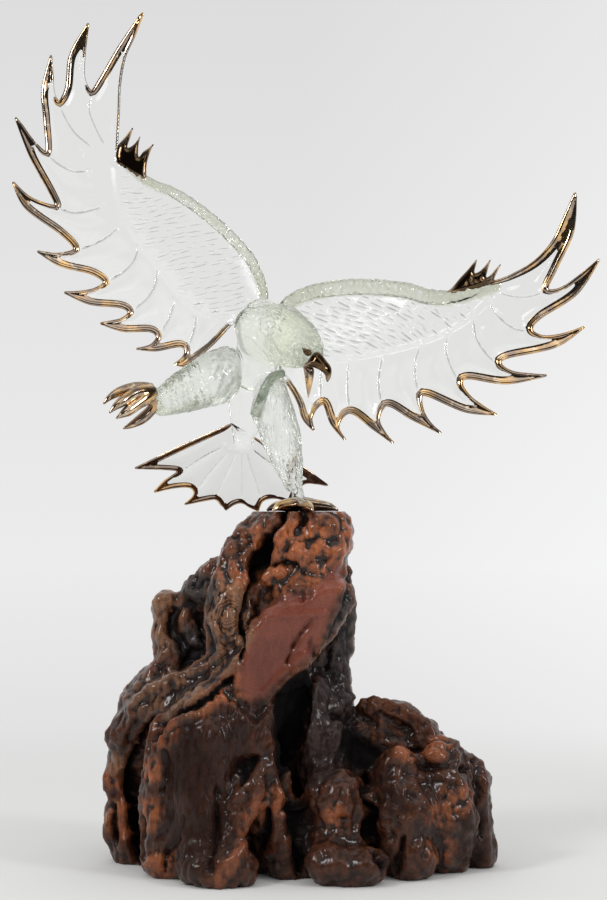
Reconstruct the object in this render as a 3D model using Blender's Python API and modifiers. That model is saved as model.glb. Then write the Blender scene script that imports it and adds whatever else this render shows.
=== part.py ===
"""Clear glass eagle with gilded feather edges, landing with one foot on a block of burl wood.

The eagle is one fused piece of glass and the burl is one piece of wood. Both are laid out from one
front drawing: x runs to the right and y runs down, in units of a 500th of the eagle's height, and
depth runs away from the viewer in the same units. The drawing is in perspective, seen from the level
of the burl's top, so what lies further back is drawn smaller.
"""

import math

import bmesh
import bpy
from mathutils import Matrix, Vector
from mathutils.geometry import delaunay_2d_cdt

# Driving dimensions, in metres
EAGLE_HEIGHT = 0.340
BASE_HEIGHT = 0.241
SEAT_GAP = 0.0003
FEATHER_THICKNESS = 0.0028
COVERT_THICKNESS = 0.0062
RIM_DIAMETER = 0.0042
LEADING_EDGE_DIAMETER = 0.0095
QUILL_HEIGHT = 0.0011

# The front drawing
EAGLE_UNITS = 500
BASE_UNITS = 354.4
VIEW_UNITS = 1838
FOOT_X = 303.5
TOP_Y = 511

# Mesh density
BODY_VOXEL = 0.0028
BASE_VOXEL = 0.0055
BODY_TRIANGLES = 1500
BASE_TRIANGLES = 2500
HOLLOW_TRIANGLES = 160
BALL_STEP = 0.35
LINE_TOLERANCE = 1.1
SHEET_SPACING = 34
COVERT_SLOPE = 0.1
EDGE_SHARE = 0.45
SHARPEST = 0.35

UNIT = EAGLE_HEIGHT / EAGLE_UNITS
BASE_UNIT = BASE_HEIGHT / BASE_UNITS

# Each wing: its feather edge from the alula round to the body, one stretch from tip to tip, and the
# lines where one feather laps the next.
LEFT_WING = {
    "shoulder": (262, 310),
    "reach": (-172, -250),
    "leading": [(252, 318), (264, 297), (253, 264), (232, 238), (204, 213), (174, 193), (146, 180), (121, 158)],
    "first_edge": [(116, 150), (118, 116), (119.5, 83), (124.5, 56), (133, 37), (142, 13)],
    "stretches": [
        [(142, 13), (119.4, 48), (101, 80), (91.5, 92.5), (84, 81), (83, 62), (88, 24)],
        [(88, 24), (71.3, 55), (67.5, 88), (59, 103.5), (53, 93), (51.5, 75), (51, 56)],
        [(51, 56), (43.4, 90), (46, 120), (47.5, 153), (34, 143), (21.5, 126), (15.7, 118)],
        [(15.7, 118), (31.5, 156), (52, 193), (57, 206), (46, 205), (28, 197), (13.3, 182.5)],
        [(13.3, 182.5), (26.5, 207), (61, 232), (76, 249), (60, 254.5), (46, 253.5), (38, 251.5)],
        [(38, 251.5), (61, 264.5), (92, 272), (105.5, 282), (95, 289.5), (80, 292.5), (65, 292.5)],
        [(65, 292.5), (90, 302.5), (121, 305.5), (130.3, 312.5), (122, 319.5), (112, 322), (101, 323.3)],
        [(101, 323.3), (123, 329.5), (150, 329.5), (158.5, 336.6), (153, 344.5), (146, 347.8), (137, 348.7)],
        [(137, 348.7), (156, 349), (180, 344.5), (186.8, 351), (182, 359.5), (175, 364)],
        [(175, 364), (187, 363.5), (209.6, 345), (229, 324.5), (243, 312)],
    ],
    "quills": [
        [(91.5, 93), (89, 110), (97, 131), (106, 147)],
        [(59, 104), (67, 121), (78, 136), (95, 149)],
        [(47.5, 154), (60, 165), (75.5, 171.6), (90, 170)],
        [(57, 207), (71.4, 212.4), (86, 211.4), (103, 206)],
        [(76, 250), (92, 245), (107, 237), (119, 226)],
        [(105.5, 282), (123, 272), (134.5, 259), (138, 246)],
        [(130.3, 312), (147, 298), (156, 282), (157, 266)],
        [(158.5, 336), (169, 318), (175, 299)],
        [(186.8, 350), (194, 330), (197, 312)],
    ],
    "coverts": [(257, 316), (262, 297), (250, 264), (230, 239), (203, 215), (173, 196), (144, 182), (118, 160),
                (108, 165), (112, 200), (128, 232), (150, 262), (172, 290), (197, 314), (226, 322)],
    "alula": [
        [(121, 162), (119, 150), (124, 140), (132.3, 127.5)],
        [(130, 170), (130, 158), (134, 147), (140.4, 136.5)],
        [(145, 180), (143.5, 168), (146.5, 156), (154, 144)],
    ],
}
RIGHT_WING = {
    "shoulder": (282, 318),
    "reach": (305, -70),
    "leading": [(276, 322), (289, 302), (312, 292), (345, 287), (375, 287), (405, 290), (432, 297), (462, 295),
                (492, 285)],
    "first_edge": [(488, 284), (510, 276.6), (535.8, 261.7), (555, 240.4), (566.7, 215), (575.8, 193.5)],
    "stretches": [
        [(575.8, 193.5), (572, 231), (556, 266), (546, 289), (560, 289.5), (580, 276.5), (599.2, 259.5)],
        [(599.2, 259.5), (576.3, 292.6), (539, 317), (530.5, 330), (543, 337), (563, 335), (583.8, 327.2)],
        [(583.8, 327.2), (555, 345.5), (506, 356.3), (500, 365), (512, 372.5), (530, 375), (546, 375.5)],
        [(546, 375.5), (506.6, 382), (468, 376.6), (460.5, 383.5), (468.5, 396), (481, 406), (496, 414.4)],
        [(496, 414.4), (465, 410), (428, 394), (420, 397), (422.7, 412), (430, 424), (440.5, 432.7)],
        [(440.5, 432.7), (412, 417.5), (391.5, 404.7), (382.5, 406.5), (378, 420), (384, 433), (393, 442.8)],
        [(393, 442.8), (373, 427), (354, 412), (343, 414.5), (337.5, 428), (345, 439.8)],
        [(345, 439.8), (332.4, 423), (325, 403), (316.5, 406), (310.5, 419), (313.7, 430)],
        [(313.7, 430), (304.4, 418.7), (300, 403), (292.6, 388.6), (282, 374)],
    ],
    "quills": [
        [(546, 291), (530.5, 296.3), (514, 296.5), (498, 292)],
        [(530.5, 331), (514.5, 328.5), (498, 316), (489.5, 302)],
        [(500, 366), (485, 352), (475.4, 335), (474, 317)],
        [(460.5, 383.5), (451, 366), (446.3, 350), (448, 335)],
        [(420, 396), (415.5, 378), (416, 360), (421, 345)],
        [(383, 406), (379, 388), (380, 370), (384, 354)],
        [(350, 411), (348, 392), (348, 374), (350, 361)],
        [(321, 402), (321, 384), (322, 366)],
    ],
    "coverts": [(278, 322), (290, 304), (312, 294), (345, 289), (375, 289), (405, 292), (432, 299), (462, 297),
                (490, 287), (497, 294), (478, 316), (452, 334), (420, 347), (385, 356), (345, 363), (310, 365),
                (284, 356)],
    "alula": [
        [(450, 292), (460, 283), (468, 272), (476.5, 260)],
        [(466, 291), (474, 283), (482, 273), (490, 260)],
        [(481, 287), (487, 281), (493, 274), (500, 264)],
    ],
}
TAIL = {
    "edge": [
        [(232, 424), (221.8, 428.8), (179, 448), (135.7, 468)],
        [(135.7, 468), (160, 468), (177, 469), (179.5, 472), (166, 480.5), (155, 491.6)],
        [(155, 491.6), (174.6, 486.5), (190, 486), (195.5, 492), (192, 498.5), (185.5, 504)],
        [(185.5, 504), (203.3, 499.6), (216, 498), (222.5, 504.5), (226, 509.5)],
        [(226, 509.5), (233, 503.5), (241, 501.5), (249, 506), (258, 510.5)],
        [(258, 510.5), (261, 501), (270, 497), (282, 499), (291, 504)],
        [(291, 504), (294, 493), (303, 483), (315, 483), (327, 485)],
        [(327, 485), (304.6, 469.4), (280, 454.5), (254, 438)],
    ],
    "quills": [
        [(180, 471.5), (193.8, 462.6), (208, 453.5), (225, 446)],
        [(195.5, 491), (203, 481.5), (213, 468), (230, 450)],
        [(217, 498), (220.5, 486), (229, 468), (237, 450)],
        [(241, 501), (242, 484), (242, 467), (242, 450)],
        [(261, 501), (256.5, 483), (251, 467), (246, 450)],
        [(303, 483), (284, 471), (267, 460), (250, 447)],
    ],
}

# Body: balls along a line, as (x, y, depth, radius)
TORSO = [(262, 318, 6, 22), (256, 345, 8, 31), (252, 378, 12, 31), (248, 408, 18, 27), (244, 430, 24, 20),
         (241, 446, 30, 12)]
HEAD = [(258, 326, 2, 21), (275, 334, -14, 28), (292, 341, -30, 26), (306, 349, -44, 18), (311, 354, -50, 13)]
STANDING_THIGH = [(270, 388, 0, 16), (272, 410, -6, 23), (281, 436, -8, 20), (288, 462, -6, 15), (293, 482, -4, 10)]
RAISED_THIGH = [(236, 372, 0, 27), (212, 379, -18, 28), (184, 392, -38, 21), (163, 402, -52, 14)]
BODY_DEPTH_SHARE = 0.86

# Tapered rods, as (x, y, depth, radius)
ANKLE = [(292, 478, -4, 9), (297, 490, -3, 6), (299, 503, 0, 7)]
RAISED_ANKLE = [(170, 399, -48, 11), (157, 396, -57, 8), (149, 393, -63, 8)]
UPPER_BEAK = [(305, 356, -48, 9), (314, 359, -57, 8.5), (322, 363, -62, 7), (328, 369, -64, 5), (329, 376, -64, 3),
              (327.5, 382, -64, 0.8)]
LOWER_BEAK = [(302, 362, -50, 6), (305, 371, -57, 5.5), (308, 384, -62, 4), (308, 398, -64, 0.8)]
EYES = [(307, 351, -60, 5), (308, 347, -33, 5)]
STANDING_TOES = [
    [(299, 503, 0, 7), (312, 504, -5, 6.5), (326, 505, -9, 5), (333, 506.5, -11, 3), (338, 509.5, -12, 1)],
    [(299, 503, 0, 7), (303, 504, -16, 6.5), (308, 505, -30, 5), (311, 506.5, -37, 3), (313, 509.5, -42, 1)],
    [(299, 503, 0, 7), (289, 504, -13, 6.5), (280, 505, -25, 5), (276, 506.5, -31, 3), (273, 509.5, -35, 1)],
    [(299, 503, 0, 7), (288, 504, 5, 6.5), (277, 505, 10, 5), (271, 506.5, 12, 3), (267, 509.5, 13, 1)],
]
RAISED_TOES = [
    [(150, 392, -62, 9), (134, 388, -68, 6), (119, 392, -76, 4.5), (109, 398, -82, 3), (103.6, 404, -85, 0.8)],
    [(150, 392, -62, 9), (136, 393, -76, 6.5), (123, 401, -88, 5), (115, 407, -94, 3.2), (109.4, 413, -97, 0.8)],
    [(150, 393, -62, 9), (141, 401, -74, 6.5), (129, 410, -84, 5.5), (122, 414.5, -89, 3.2), (116, 418.5, -91, 0.8)],
    [(152, 392, -60, 8), (154, 405, -58, 6), (145, 416, -60, 5.5), (133, 424, -66, 4), (123.2, 428.6, -70, 0.8)],
]

# Burl: balls along its trunk, ridges and roots, as (x, y, depth, radius), in the same drawing
BURL_LUMPS = [
    # Core, from the flat top down to the ground and out under the right hump
    [(300, 560, 10, 44), (285, 610, 22, 54), (262, 670, 34, 66), (240, 740, 40, 80), (225, 800, 44, 92),
     (225, 860, 40, 96)],
    [(330, 760, 40, 50), (390, 800, 40, 58), (420, 850, 30, 56)], [(316, 848, 10, 46), (366, 850, 12, 44)],
    # Knobbly column under the foot
    [(318, 540, -8, 36), (316, 566, -16, 30), (306, 590, -26, 30)],
    [(285, 535, -22, 24)], [(300, 556, -34, 18)], [(330, 556, -30, 17)], [(278, 568, -30, 18)],
    [(316, 584, -38, 16)], [(288, 592, -36, 15)], [(340, 575, -14, 16)],
    # Mass behind the smooth slanting face
    [(328, 600, -38, 26), (300, 635, -44, 30), (268, 670, -50, 28)],
    # Gnarled column on the left of the top
    [(290, 538, -2, 34), (264, 538, 2, 30), (242, 556, -2, 26), (234, 590, -12, 26), (228, 625, -20, 26), (236, 658, -28, 24)],
    [(222, 585, -18, 14)], [(218, 612, -22, 14)],
    # Left back ridge with its knobs
    [(222, 577, 30, 25), (199, 608, 42, 24), (174, 614, 44, 17)], [(200, 640, 50, 34)],
    [(164, 606, 40, 14)], [(167, 628, 40, 15), (172, 645, 38, 18), (180, 672, 36, 24)],
    [(160, 690, 40, 28), (140, 705, 36, 24)],
    # Bark at the back right, down to the ground
    [(334, 600, 20, 24), (333, 632, 26, 23), (328, 665, 24, 22), (330, 696, 18, 23), (326, 735, -2, 28),
     (322, 775, -16, 26)],
    [(312, 690, -6, 18), (312, 730, -14, 18), (318, 765, -24, 16)],
    # Root that sweeps down to the left, and the knobs it ends in
    [(238, 662, -24, 22), (205, 682, -20, 22), (172, 700, -8, 24), (146, 714, 8, 24), (132, 728, 18, 24)],
    [(130, 740, 22, 22), (124, 762, 26, 20)], [(118, 735, 24, 14)], [(114, 782, 26, 13)],
    [(126, 770, 34, 18), (122, 800, 28, 16), (118, 832, 28, 17)], [(130, 842, 30, 24), (134, 856, 30, 24)],
    # Big front mass, with its upper edge running down to the left
    [(236, 688, -44, 24), (205, 712, -46, 30), (182, 738, -40, 34), (172, 772, -34, 32), (170, 815, -34, 32),
     (172, 852, -40, 32)],
    [(212, 740, -52, 34), (205, 790, -54, 36), (206, 840, -60, 36), (208, 864, -74, 30)],
    [(214, 868, -90, 26), (236, 868, -90, 24)],
    [(250, 720, -50, 28), (262, 765, -52, 26), (268, 800, -52, 26), (284, 840, -50, 30), (290, 864, -48, 26)],
    # Narrow ridge down the front
    [(252, 775, -74, 12), (240, 808, -80, 13), (228, 845, -90, 14), (220, 872, -94, 16)],
    # Front right lump and its foot
    [(336, 800, -50, 34)], [(340, 835, -54, 30)], [(318, 862, -66, 22)], [(350, 868, -90, 22), (368, 866, -90, 20)],
    # Right hump
    [(400, 778, -34, 30), (404, 820, -46, 34), (408, 856, -50, 30)],
    [(440, 775, -26, 28), (448, 815, -30, 32), (446, 850, -22, 28)],
    [(464, 768, -6, 18), (466, 785, -6, 25), (470, 825, 0, 25), (480, 852, 2, 19)],
    [(446, 760, -14, 22)], [(392, 756, -46, 16)], [(436, 756, -32, 14)],
    # Slab that lies over the hump
    [(362, 706, 4, 10), (380, 706, 2, 13), (402, 716, 0, 15), (424, 734, -4, 16)],
    [(385, 735, 18, 30), (420, 755, 16, 30)],
    # Back, plainer
    [(250, 640, 76, 34)], [(205, 720, 96, 40)], [(280, 760, 112, 36)], [(322, 700, 60, 30)],
    [(180, 800, 96, 44)], [(300, 840, 120, 40)], [(390, 840, 84, 36)],
]
CAVE = [
    [(302, 684, -66, 12), (292, 718, -66, 16), (290, 755, -66, 16), (300, 786, -72, 11)],
    [(300, 688, -44, 13), (292, 720, -40, 18), (292, 755, -44, 16)],
    [(298, 700, -24, 13), (294, 735, -20, 16)],
]
RECESS = [
    [(352, 728, -40, 12), (362, 745, -36, 15), (352, 765, -46, 10)],
    [(362, 736, -16, 12)],
]

# Smooth slanting face: its middle in the drawing, its size along and across, its slant and its lean
FACE_MIDDLE = (287, 634, -60)
FACE_SIZE = (166, 74)
FACE_SLANT = math.radians(46)
FACE_LEAN = math.radians(8)


def front(x, y, depth, unit=UNIT):
    """The point that the front drawing shows at x, y, that many units behind the foot."""
    spread = (1 + depth / VIEW_UNITS) * unit
    return Vector(((x - FOOT_X) * spread, depth * unit, BASE_HEIGHT + SEAT_GAP + (TOP_Y - y) * spread))


def wing_depth(wing, x, y):
    """A wing sweeps back from the shoulder, bends forward again to its tips, and is cupped forward."""
    along_x, along_y = wing["reach"]
    length = math.hypot(along_x, along_y)
    dx, dy = x - wing["shoulder"][0], y - wing["shoulder"][1]
    along = (dx * along_x + dy * along_y) / length**2
    across = (dx * along_y - dy * along_x) / length
    return 12 + 104 * along - 50 * along**2 - 0.0015 * across**2


def tail_depth(x, y):
    """The tail slopes back as it drops, and its two sides curl forward."""
    return 20 + 0.78 * (y - 430) - 0.0016 * (x - 240) ** 2


def smooth_line(points, steps):
    """A Catmull-Rom curve through the points, with that many pieces to each span."""
    whole = [points[0], *points, points[-1]]
    line = []
    for a, b, c, d in zip(whole, whole[1:], whole[2:], whole[3:]):
        for step in range(steps):
            t = step / steps
            line.append(tuple(
                0.5 * (2 * q + (r - p) * t + (2 * p - 5 * q + 4 * r - s) * t**2 + (3 * q - p - 3 * r + s) * t**3)
                for p, q, r, s in zip(a, b, c, d)
            ))
    line.append(tuple(points[-1]))
    return line


def thinned(line, tolerance=LINE_TOLERANCE):
    """The line without the points that lie within the tolerance of a straight run."""
    if len(line) < 3:
        return line
    start, end = Vector(line[0][:2]), Vector(line[-1][:2])
    run = end - start
    offsets = []
    for point in line[1:-1]:
        away = Vector(point[:2]) - start
        share = max(0, min(1, away.dot(run) / max(run.length_squared, 1e-9)))
        offsets.append((away - run * share).length)
    widest = max(offsets)
    if widest <= tolerance:
        return [line[0], line[-1]]
    split = offsets.index(widest) + 1
    return thinned(line[: split + 1], tolerance)[:-1] + thinned(line[split:], tolerance)


def swelling(count, radius, end_share):
    """Radii of a rod that is full in the middle and tapers to its ends."""
    radii = []
    for index in range(count):
        from_end = min(index, count - 1 - index) / (count - 1)
        radii.append(radius * (end_share + (1 - end_share) * min(1, from_end / 0.3)))
    return radii


def normals(line, side):
    """The direction across the line at each of its points towards that side, longer where the line turns."""
    found = []
    for index in range(len(line)):
        before, after = Vector(line[max(0, index - 1)]), Vector(line[min(len(line) - 1, index + 1)])
        here = Vector(line[index])
        along = Vector((0, 0))
        for run in (here - before, after - here):
            if run.length > 0:
                along += run.normalized()
        ends = index in (0, len(line) - 1)
        straight = 1 if ends else max(SHARPEST, along.length / 2)
        along.normalize()
        found.append(Vector((along.y, -along.x)) * side / straight)
    return found


def inside(point, corners):
    """Whether the point lies within the closed outline."""
    crossings = 0
    for a, b in zip(corners, corners[1:] + corners[:1]):
        if (a.y > point.y) != (b.y > point.y):
            crossings += point.x < a.x + (point.y - a.y) * (b.x - a.x) / (b.y - a.y)
    return crossings % 2 == 1


def clearance(point, lines):
    """How far a point lies from the lines."""
    nearest = math.inf
    for line in lines:
        for a, b in zip(line, line[1:]):
            run = b - a
            share = max(0, min(1, (point - a).dot(run) / max(run.length_squared, 1e-9)))
            nearest = min(nearest, (point - a - run * share).length)
    return nearest


def new_object(name, mesh, collection):
    made = bpy.data.objects.new(name, mesh)
    collection.objects.link(made)
    return made


def add_modifier(made, kind, **settings):
    modifier = made.modifiers.new(kind.title(), kind)
    for setting, value in settings.items():
        setattr(modifier, setting, value)
    return modifier


def applied(made):
    """Turns the object's evaluated shape into its own mesh, with the loose caps of a tube welded on."""
    graph = bpy.context.evaluated_depsgraph_get()
    mesh = bpy.data.meshes.new_from_object(made.evaluated_get(graph))
    shape = bmesh.new()
    shape.from_mesh(mesh)
    bmesh.ops.remove_doubles(shape, verts=shape.verts, dist=1e-6)
    bmesh.ops.recalc_face_normals(shape, faces=shape.faces)
    shape.to_mesh(mesh)
    shape.free()
    name = made.name
    collection = made.users_collection[0]
    bpy.data.objects.remove(made)
    return new_object(name, mesh, collection)


def tube(name, points, radii, collection, sides_level=1):
    """A tapered glass rod through the points, which are in metres."""
    curve = bpy.data.curves.new(name, "CURVE")
    curve.dimensions = "3D"
    curve.bevel_depth = 1.0
    curve.bevel_resolution = sides_level
    curve.use_fill_caps = True
    spline = curve.splines.new("POLY")
    spline.points.add(len(points) - 1)
    for point, place, radius in zip(spline.points, points, radii):
        point.co = (*place, 1.0)
        point.radius = radius
    return applied(new_object(name, curve, collection))


def drawn_tube(name, line, steps, collection, sides_level=1):
    """A rod along (x, y, depth, radius) points of the front drawing."""
    whole = smooth_line(line, steps)
    points = [front(x, y, depth) for x, y, depth, _ in whole]
    radii = [max(radius, 0.6) * UNIT for *_, radius in whole]
    return tube(name, points, radii, collection, sides_level)


def beaded_edges(start, edges, radius, end_share):
    """The outline outside the beads, and the lines and points that shape them, as (place, half thickness)."""
    corners = [Vector(point) for edge in [start, *edges] for point in edge]
    turning = sum(a.cross(b) for a, b in zip(corners, corners[1:] + corners[:1]))
    side = 1 if turning > 0 else -1
    outline = [(Vector(point), FEATHER_THICKNESS / 2) for point in start]
    crests = []
    inner = []
    for index, edge in enumerate(edges):
        radii = swelling(len(edge), radius, end_share)
        if index:
            tip = Vector(edge[0])
            away = (tip - Vector(edges[index - 1][-2])).normalized() + (tip - Vector(edge[1])).normalized()
            outline.append((tip + away.normalized() * radii[0] / UNIT, EDGE_SHARE * radii[0]))
        crest = [Vector(point) for point in edge]
        for point, across, bead in zip(crest, normals(edge, side), radii):
            reach = across * bead / UNIT
            if clearance(point + reach, [crest]) > 0.94 * bead / UNIT:
                outline.append((point + reach, EDGE_SHARE * bead))
            inner.append((point - across.normalized() * 1.1 * bead / UNIT, bead))
        crests.append(list(zip(crest, radii)))
    lines = [[point for point, _ in crest] for crest in crests]
    flat = [(point, FEATHER_THICKNESS / 2) for point, bead in inner if clearance(point, lines) > bead / UNIT]
    return outline, crests, flat


def skin(outline, lines, points, half_at):
    """One side of a sheet: flat triangles over the outline, and the half thickness at each corner."""
    corners = [place for place, _ in outline]
    given = list(outline)
    edges = [(index, (index + 1) % len(outline)) for index in range(len(outline))]
    for line in lines:
        edges += [(len(given) + index, len(given) + index + 1) for index in range(len(line) - 1)]
        given += line
    given += points
    low = [min(place[i] for place in corners) for i in (0, 1)]
    high = [max(place[i] for place in corners) for i in (0, 1)]
    fixed = [place for place, _ in given]
    for row in range(1, int((high[1] - low[1]) / SHEET_SPACING) + 1):
        for column in range(int((high[0] - low[0]) / SHEET_SPACING) + 1):
            place = Vector((low[0] + (column + 0.5 * (row % 2)) * SHEET_SPACING, low[1] + row * SHEET_SPACING))
            if not inside(place, corners) or min((place - other).length for other in fixed) < SHEET_SPACING / 2:
                continue
            given.append((place, half_at(*place)))
    flat, _, faces, origins, *_ = delaunay_2d_cdt([place for place, _ in given], edges, [], 1, 1e-3)
    halves = []
    found = {}
    for index, (place, came_from) in enumerate(zip(flat, origins)):
        halves.append(given[came_from[0]][1] if came_from else half_at(*place))
        for origin in came_from:
            found[origin] = index
    return flat, faces, halves, [found[index] for index in range(len(outline))]


def sheet(name, outline, front_relief, back_relief, depth_at, half_at, collection):
    """A closed sheet of glass: its front and back sides, and the wall round its outline."""
    places = []
    faces = []
    rings = []
    for side, (lines, points) in ((-1, front_relief), (1, back_relief)):
        flat, triangles, halves, ring = skin(outline, lines, points, half_at)
        first = len(places)
        places += [front(x, y, depth_at(x, y) + side * half / UNIT) for (x, y), half in zip(flat, halves)]
        faces += [[first + corner for corner in triangle] for triangle in triangles]
        rings.append([first + corner for corner in ring])
    near, far = rings
    for index in range(len(near)):
        after = (index + 1) % len(near)
        faces.append([near[index], near[after], far[after], far[index]])
    mesh = bpy.data.meshes.new(name)
    mesh.from_pydata(places, [], faces)
    return applied(new_object(name, mesh, collection))


def balls(name, lines, unit, depth_share, collection):
    """One mesh of round balls along every line, close enough together to read as limbs."""
    shape = bmesh.new()
    for line in lines:
        for a, b in zip(line, line[1:] or line):
            apart = (front(*a[:3], unit) - front(*b[:3], unit)).length
            count = max(1, round(apart / (BALL_STEP * min(a[3], b[3]) * unit)))
            for step in range(count + 1):
                share = step / count
                x, y, depth, radius = (p + (q - p) * share for p, q in zip(a, b))
                made = bmesh.ops.create_icosphere(shape, subdivisions=2, radius=radius * unit)
                bmesh.ops.scale(shape, vec=(1, depth_share, 1), verts=made["verts"])
                bmesh.ops.translate(shape, vec=front(x, y, depth, unit), verts=made["verts"])
    mesh = bpy.data.meshes.new(name)
    shape.to_mesh(mesh)
    shape.free()
    return new_object(name, mesh, collection)


def fused(made, voxel, smoothing, triangles):
    """Fuses the balls into one skin, smooths it and brings it down to about that many triangles."""
    add_modifier(made, "REMESH", mode="VOXEL", voxel_size=voxel)
    add_modifier(made, "SMOOTH", factor=0.5, iterations=smoothing)
    made = applied(made)
    made.data.calc_loop_triangles()
    ratio = min(1.0, triangles / len(made.data.loop_triangles))
    add_modifier(made, "DECIMATE", ratio=ratio)
    return applied(made)


def ridges(quills):
    """The lines where one feather laps the next, standing up from the front of the sheet."""
    return [[(Vector(point), FEATHER_THICKNESS / 2 + QUILL_HEIGHT) for point in quill[1:]] for quill in quills]


def add_wing(name, wing, collection):
    def depth_at(x, y):
        return wing_depth(wing, x, y)

    def half_at(x, y):
        return (COVERT_THICKNESS if inside(Vector((x, y)), coverts) else FEATHER_THICKNESS) / 2

    coverts = [Vector(point) for point in wing["coverts"]]
    middle = sum(coverts, Vector((0, 0))) / len(coverts)
    edges = [thinned(smooth_line(edge, 4)) for edge in [wing["first_edge"], *wing["stretches"]]]
    outline, crests, flat = beaded_edges(wing["leading"][:-1], edges, RIM_DIAMETER / 2, 0.4)
    lowest = len(wing["leading"]) - 1
    foot = [(point, FEATHER_THICKNESS / 2) for point in coverts[lowest:]]
    raised = [(point.lerp(middle, COVERT_SLOPE), COVERT_THICKNESS / 2) for point in coverts[lowest:]]
    sheet(f"{name}_feathers", outline, (crests + ridges(wing["quills"]), flat + foot + raised),
          (crests, flat + foot + raised), depth_at, half_at, collection)
    leading = wing["leading"]
    rod_places = [front(x, y, depth_at(x, y)) for x, y in leading]
    tube(f"{name}_leading_edge", rod_places, swelling(len(leading), LEADING_EDGE_DIAMETER / 2, 0.55), collection)
    for index, spike in enumerate(wing["alula"]):
        places = [front(x, y, depth_at(x, y)) for x, y in spike]
        radii = [UNIT * (6.5 - 5.7 * step / (len(spike) - 1)) for step in range(len(spike))]
        tube(f"{name}_alula_{index}", places, radii, collection)


def add_tail(collection):
    def half_at(x, y):
        return FEATHER_THICKNESS / 2

    edges = [thinned(smooth_line(edge, 4)) for edge in TAIL["edge"]]
    outline, crests, flat = beaded_edges([], edges, RIM_DIAMETER * 0.42, 0.45)
    sheet("tail_feathers", outline, (crests + ridges(TAIL["quills"]), flat), (crests, flat), tail_depth,
          half_at, collection)


def box(name, low, high, collection):
    shape = bmesh.new()
    bmesh.ops.create_cube(shape, size=1.0)
    middle = [(a + b) / 2 for a, b in zip(low, high)]
    bmesh.ops.scale(shape, vec=[b - a for a, b in zip(low, high)], verts=shape.verts)
    bmesh.ops.translate(shape, vec=middle, verts=shape.verts)
    mesh = bpy.data.meshes.new(name)
    shape.to_mesh(mesh)
    shape.free()
    return new_object(name, mesh, collection)


def build_eagle(part, helpers):
    pieces = bpy.data.collections.new("eagle_pieces")
    helpers.children.link(pieces)
    body = balls("glass_eagle", [TORSO, HEAD, STANDING_THIGH, RAISED_THIGH], UNIT, BODY_DEPTH_SHARE, part)
    eagle = fused(body, BODY_VOXEL, 4, BODY_TRIANGLES)
    add_wing("left_wing", LEFT_WING, pieces)
    add_wing("right_wing", RIGHT_WING, pieces)
    add_tail(pieces)
    for label, line in (("ankle", ANKLE), ("raised_ankle", RAISED_ANKLE), ("upper_beak", UPPER_BEAK),
                        ("lower_beak", LOWER_BEAK)):
        drawn_tube(label, line, 1, pieces)
    for index, toe in enumerate(STANDING_TOES + RAISED_TOES):
        drawn_tube(f"toe_{index}", toe, 1, pieces)
    for index, (x, y, depth, radius) in enumerate(EYES):
        shape = bmesh.new()
        bmesh.ops.create_icosphere(shape, subdivisions=2, radius=radius * UNIT)
        bmesh.ops.translate(shape, vec=front(x, y, depth), verts=shape.verts)
        mesh = bpy.data.meshes.new("eye")
        shape.to_mesh(mesh)
        shape.free()
        new_object(f"eye_{index}", mesh, pieces)
    add_modifier(eagle, "BOOLEAN", operation="UNION", operand_type="COLLECTION", collection=pieces,
                 solver="EXACT")
    seat = BASE_HEIGHT + SEAT_GAP
    low = front(250, TOP_Y + 40, -60)
    high = front(350, TOP_Y, 30)
    under = box("seat_cutter", low, (high.x, high.y, seat), helpers)
    add_modifier(eagle, "BOOLEAN", operation="DIFFERENCE", object=under, solver="EXACT")
    return eagle


def face_cutter(helpers):
    """A block whose back side is the smooth slanting face of the burl."""
    along, across = (size * BASE_UNIT for size in FACE_SIZE)
    deep = across
    cutter = box("face_cutter", (-along / 2, -deep, -across / 2), (along / 2, 0, across / 2), helpers)
    turn = Matrix.Translation(front(*FACE_MIDDLE, BASE_UNIT)) @ Matrix.Rotation(-FACE_SLANT, 4, "Y")
    cutter.data.transform(turn @ Matrix.Rotation(FACE_LEAN, 4, "X"))
    return cutter


def build_burl(part, helpers):
    lumps = balls("burl_base", BURL_LUMPS, BASE_UNIT, 1.0, part)
    burl = fused(lumps, BASE_VOXEL, 3, BASE_TRIANGLES)
    for label, lines in (("cave_cutter", CAVE), ("recess_cutter", RECESS)):
        hollow = fused(balls(label, lines, BASE_UNIT, 1.0, helpers), BASE_VOXEL, 2, HOLLOW_TRIANGLES)
        add_modifier(burl, "BOOLEAN", operation="DIFFERENCE", object=hollow, solver="EXACT")
    face = face_cutter(helpers)
    add_modifier(burl, "BOOLEAN", operation="DIFFERENCE", object=face, solver="EXACT")
    reach = BASE_HEIGHT * 2
    ground = box("ground_cutter", (-reach, -reach, -reach), (reach, reach, 0), helpers)
    above = box("top_cutter", (-reach, -reach, BASE_HEIGHT), (reach, reach, BASE_HEIGHT + reach), helpers)
    add_modifier(burl, "BOOLEAN", operation="DIFFERENCE", object=ground, solver="EXACT")
    add_modifier(burl, "BOOLEAN", operation="DIFFERENCE", object=above, solver="EXACT")
    return burl


def finish_material(made, name, colour, roughness, metallic, transmission):
    material = bpy.data.materials.new(name)
    material.use_nodes = True
    shader = material.node_tree.nodes["Principled BSDF"]
    shader.inputs["Base Color"].default_value = (*colour, 1.0)
    shader.inputs["Roughness"].default_value = roughness
    shader.inputs["Metallic"].default_value = metallic
    shader.inputs["Transmission Weight"].default_value = transmission
    made.data.materials.clear()
    made.data.materials.append(material)
    made.data.shade_smooth()


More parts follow.
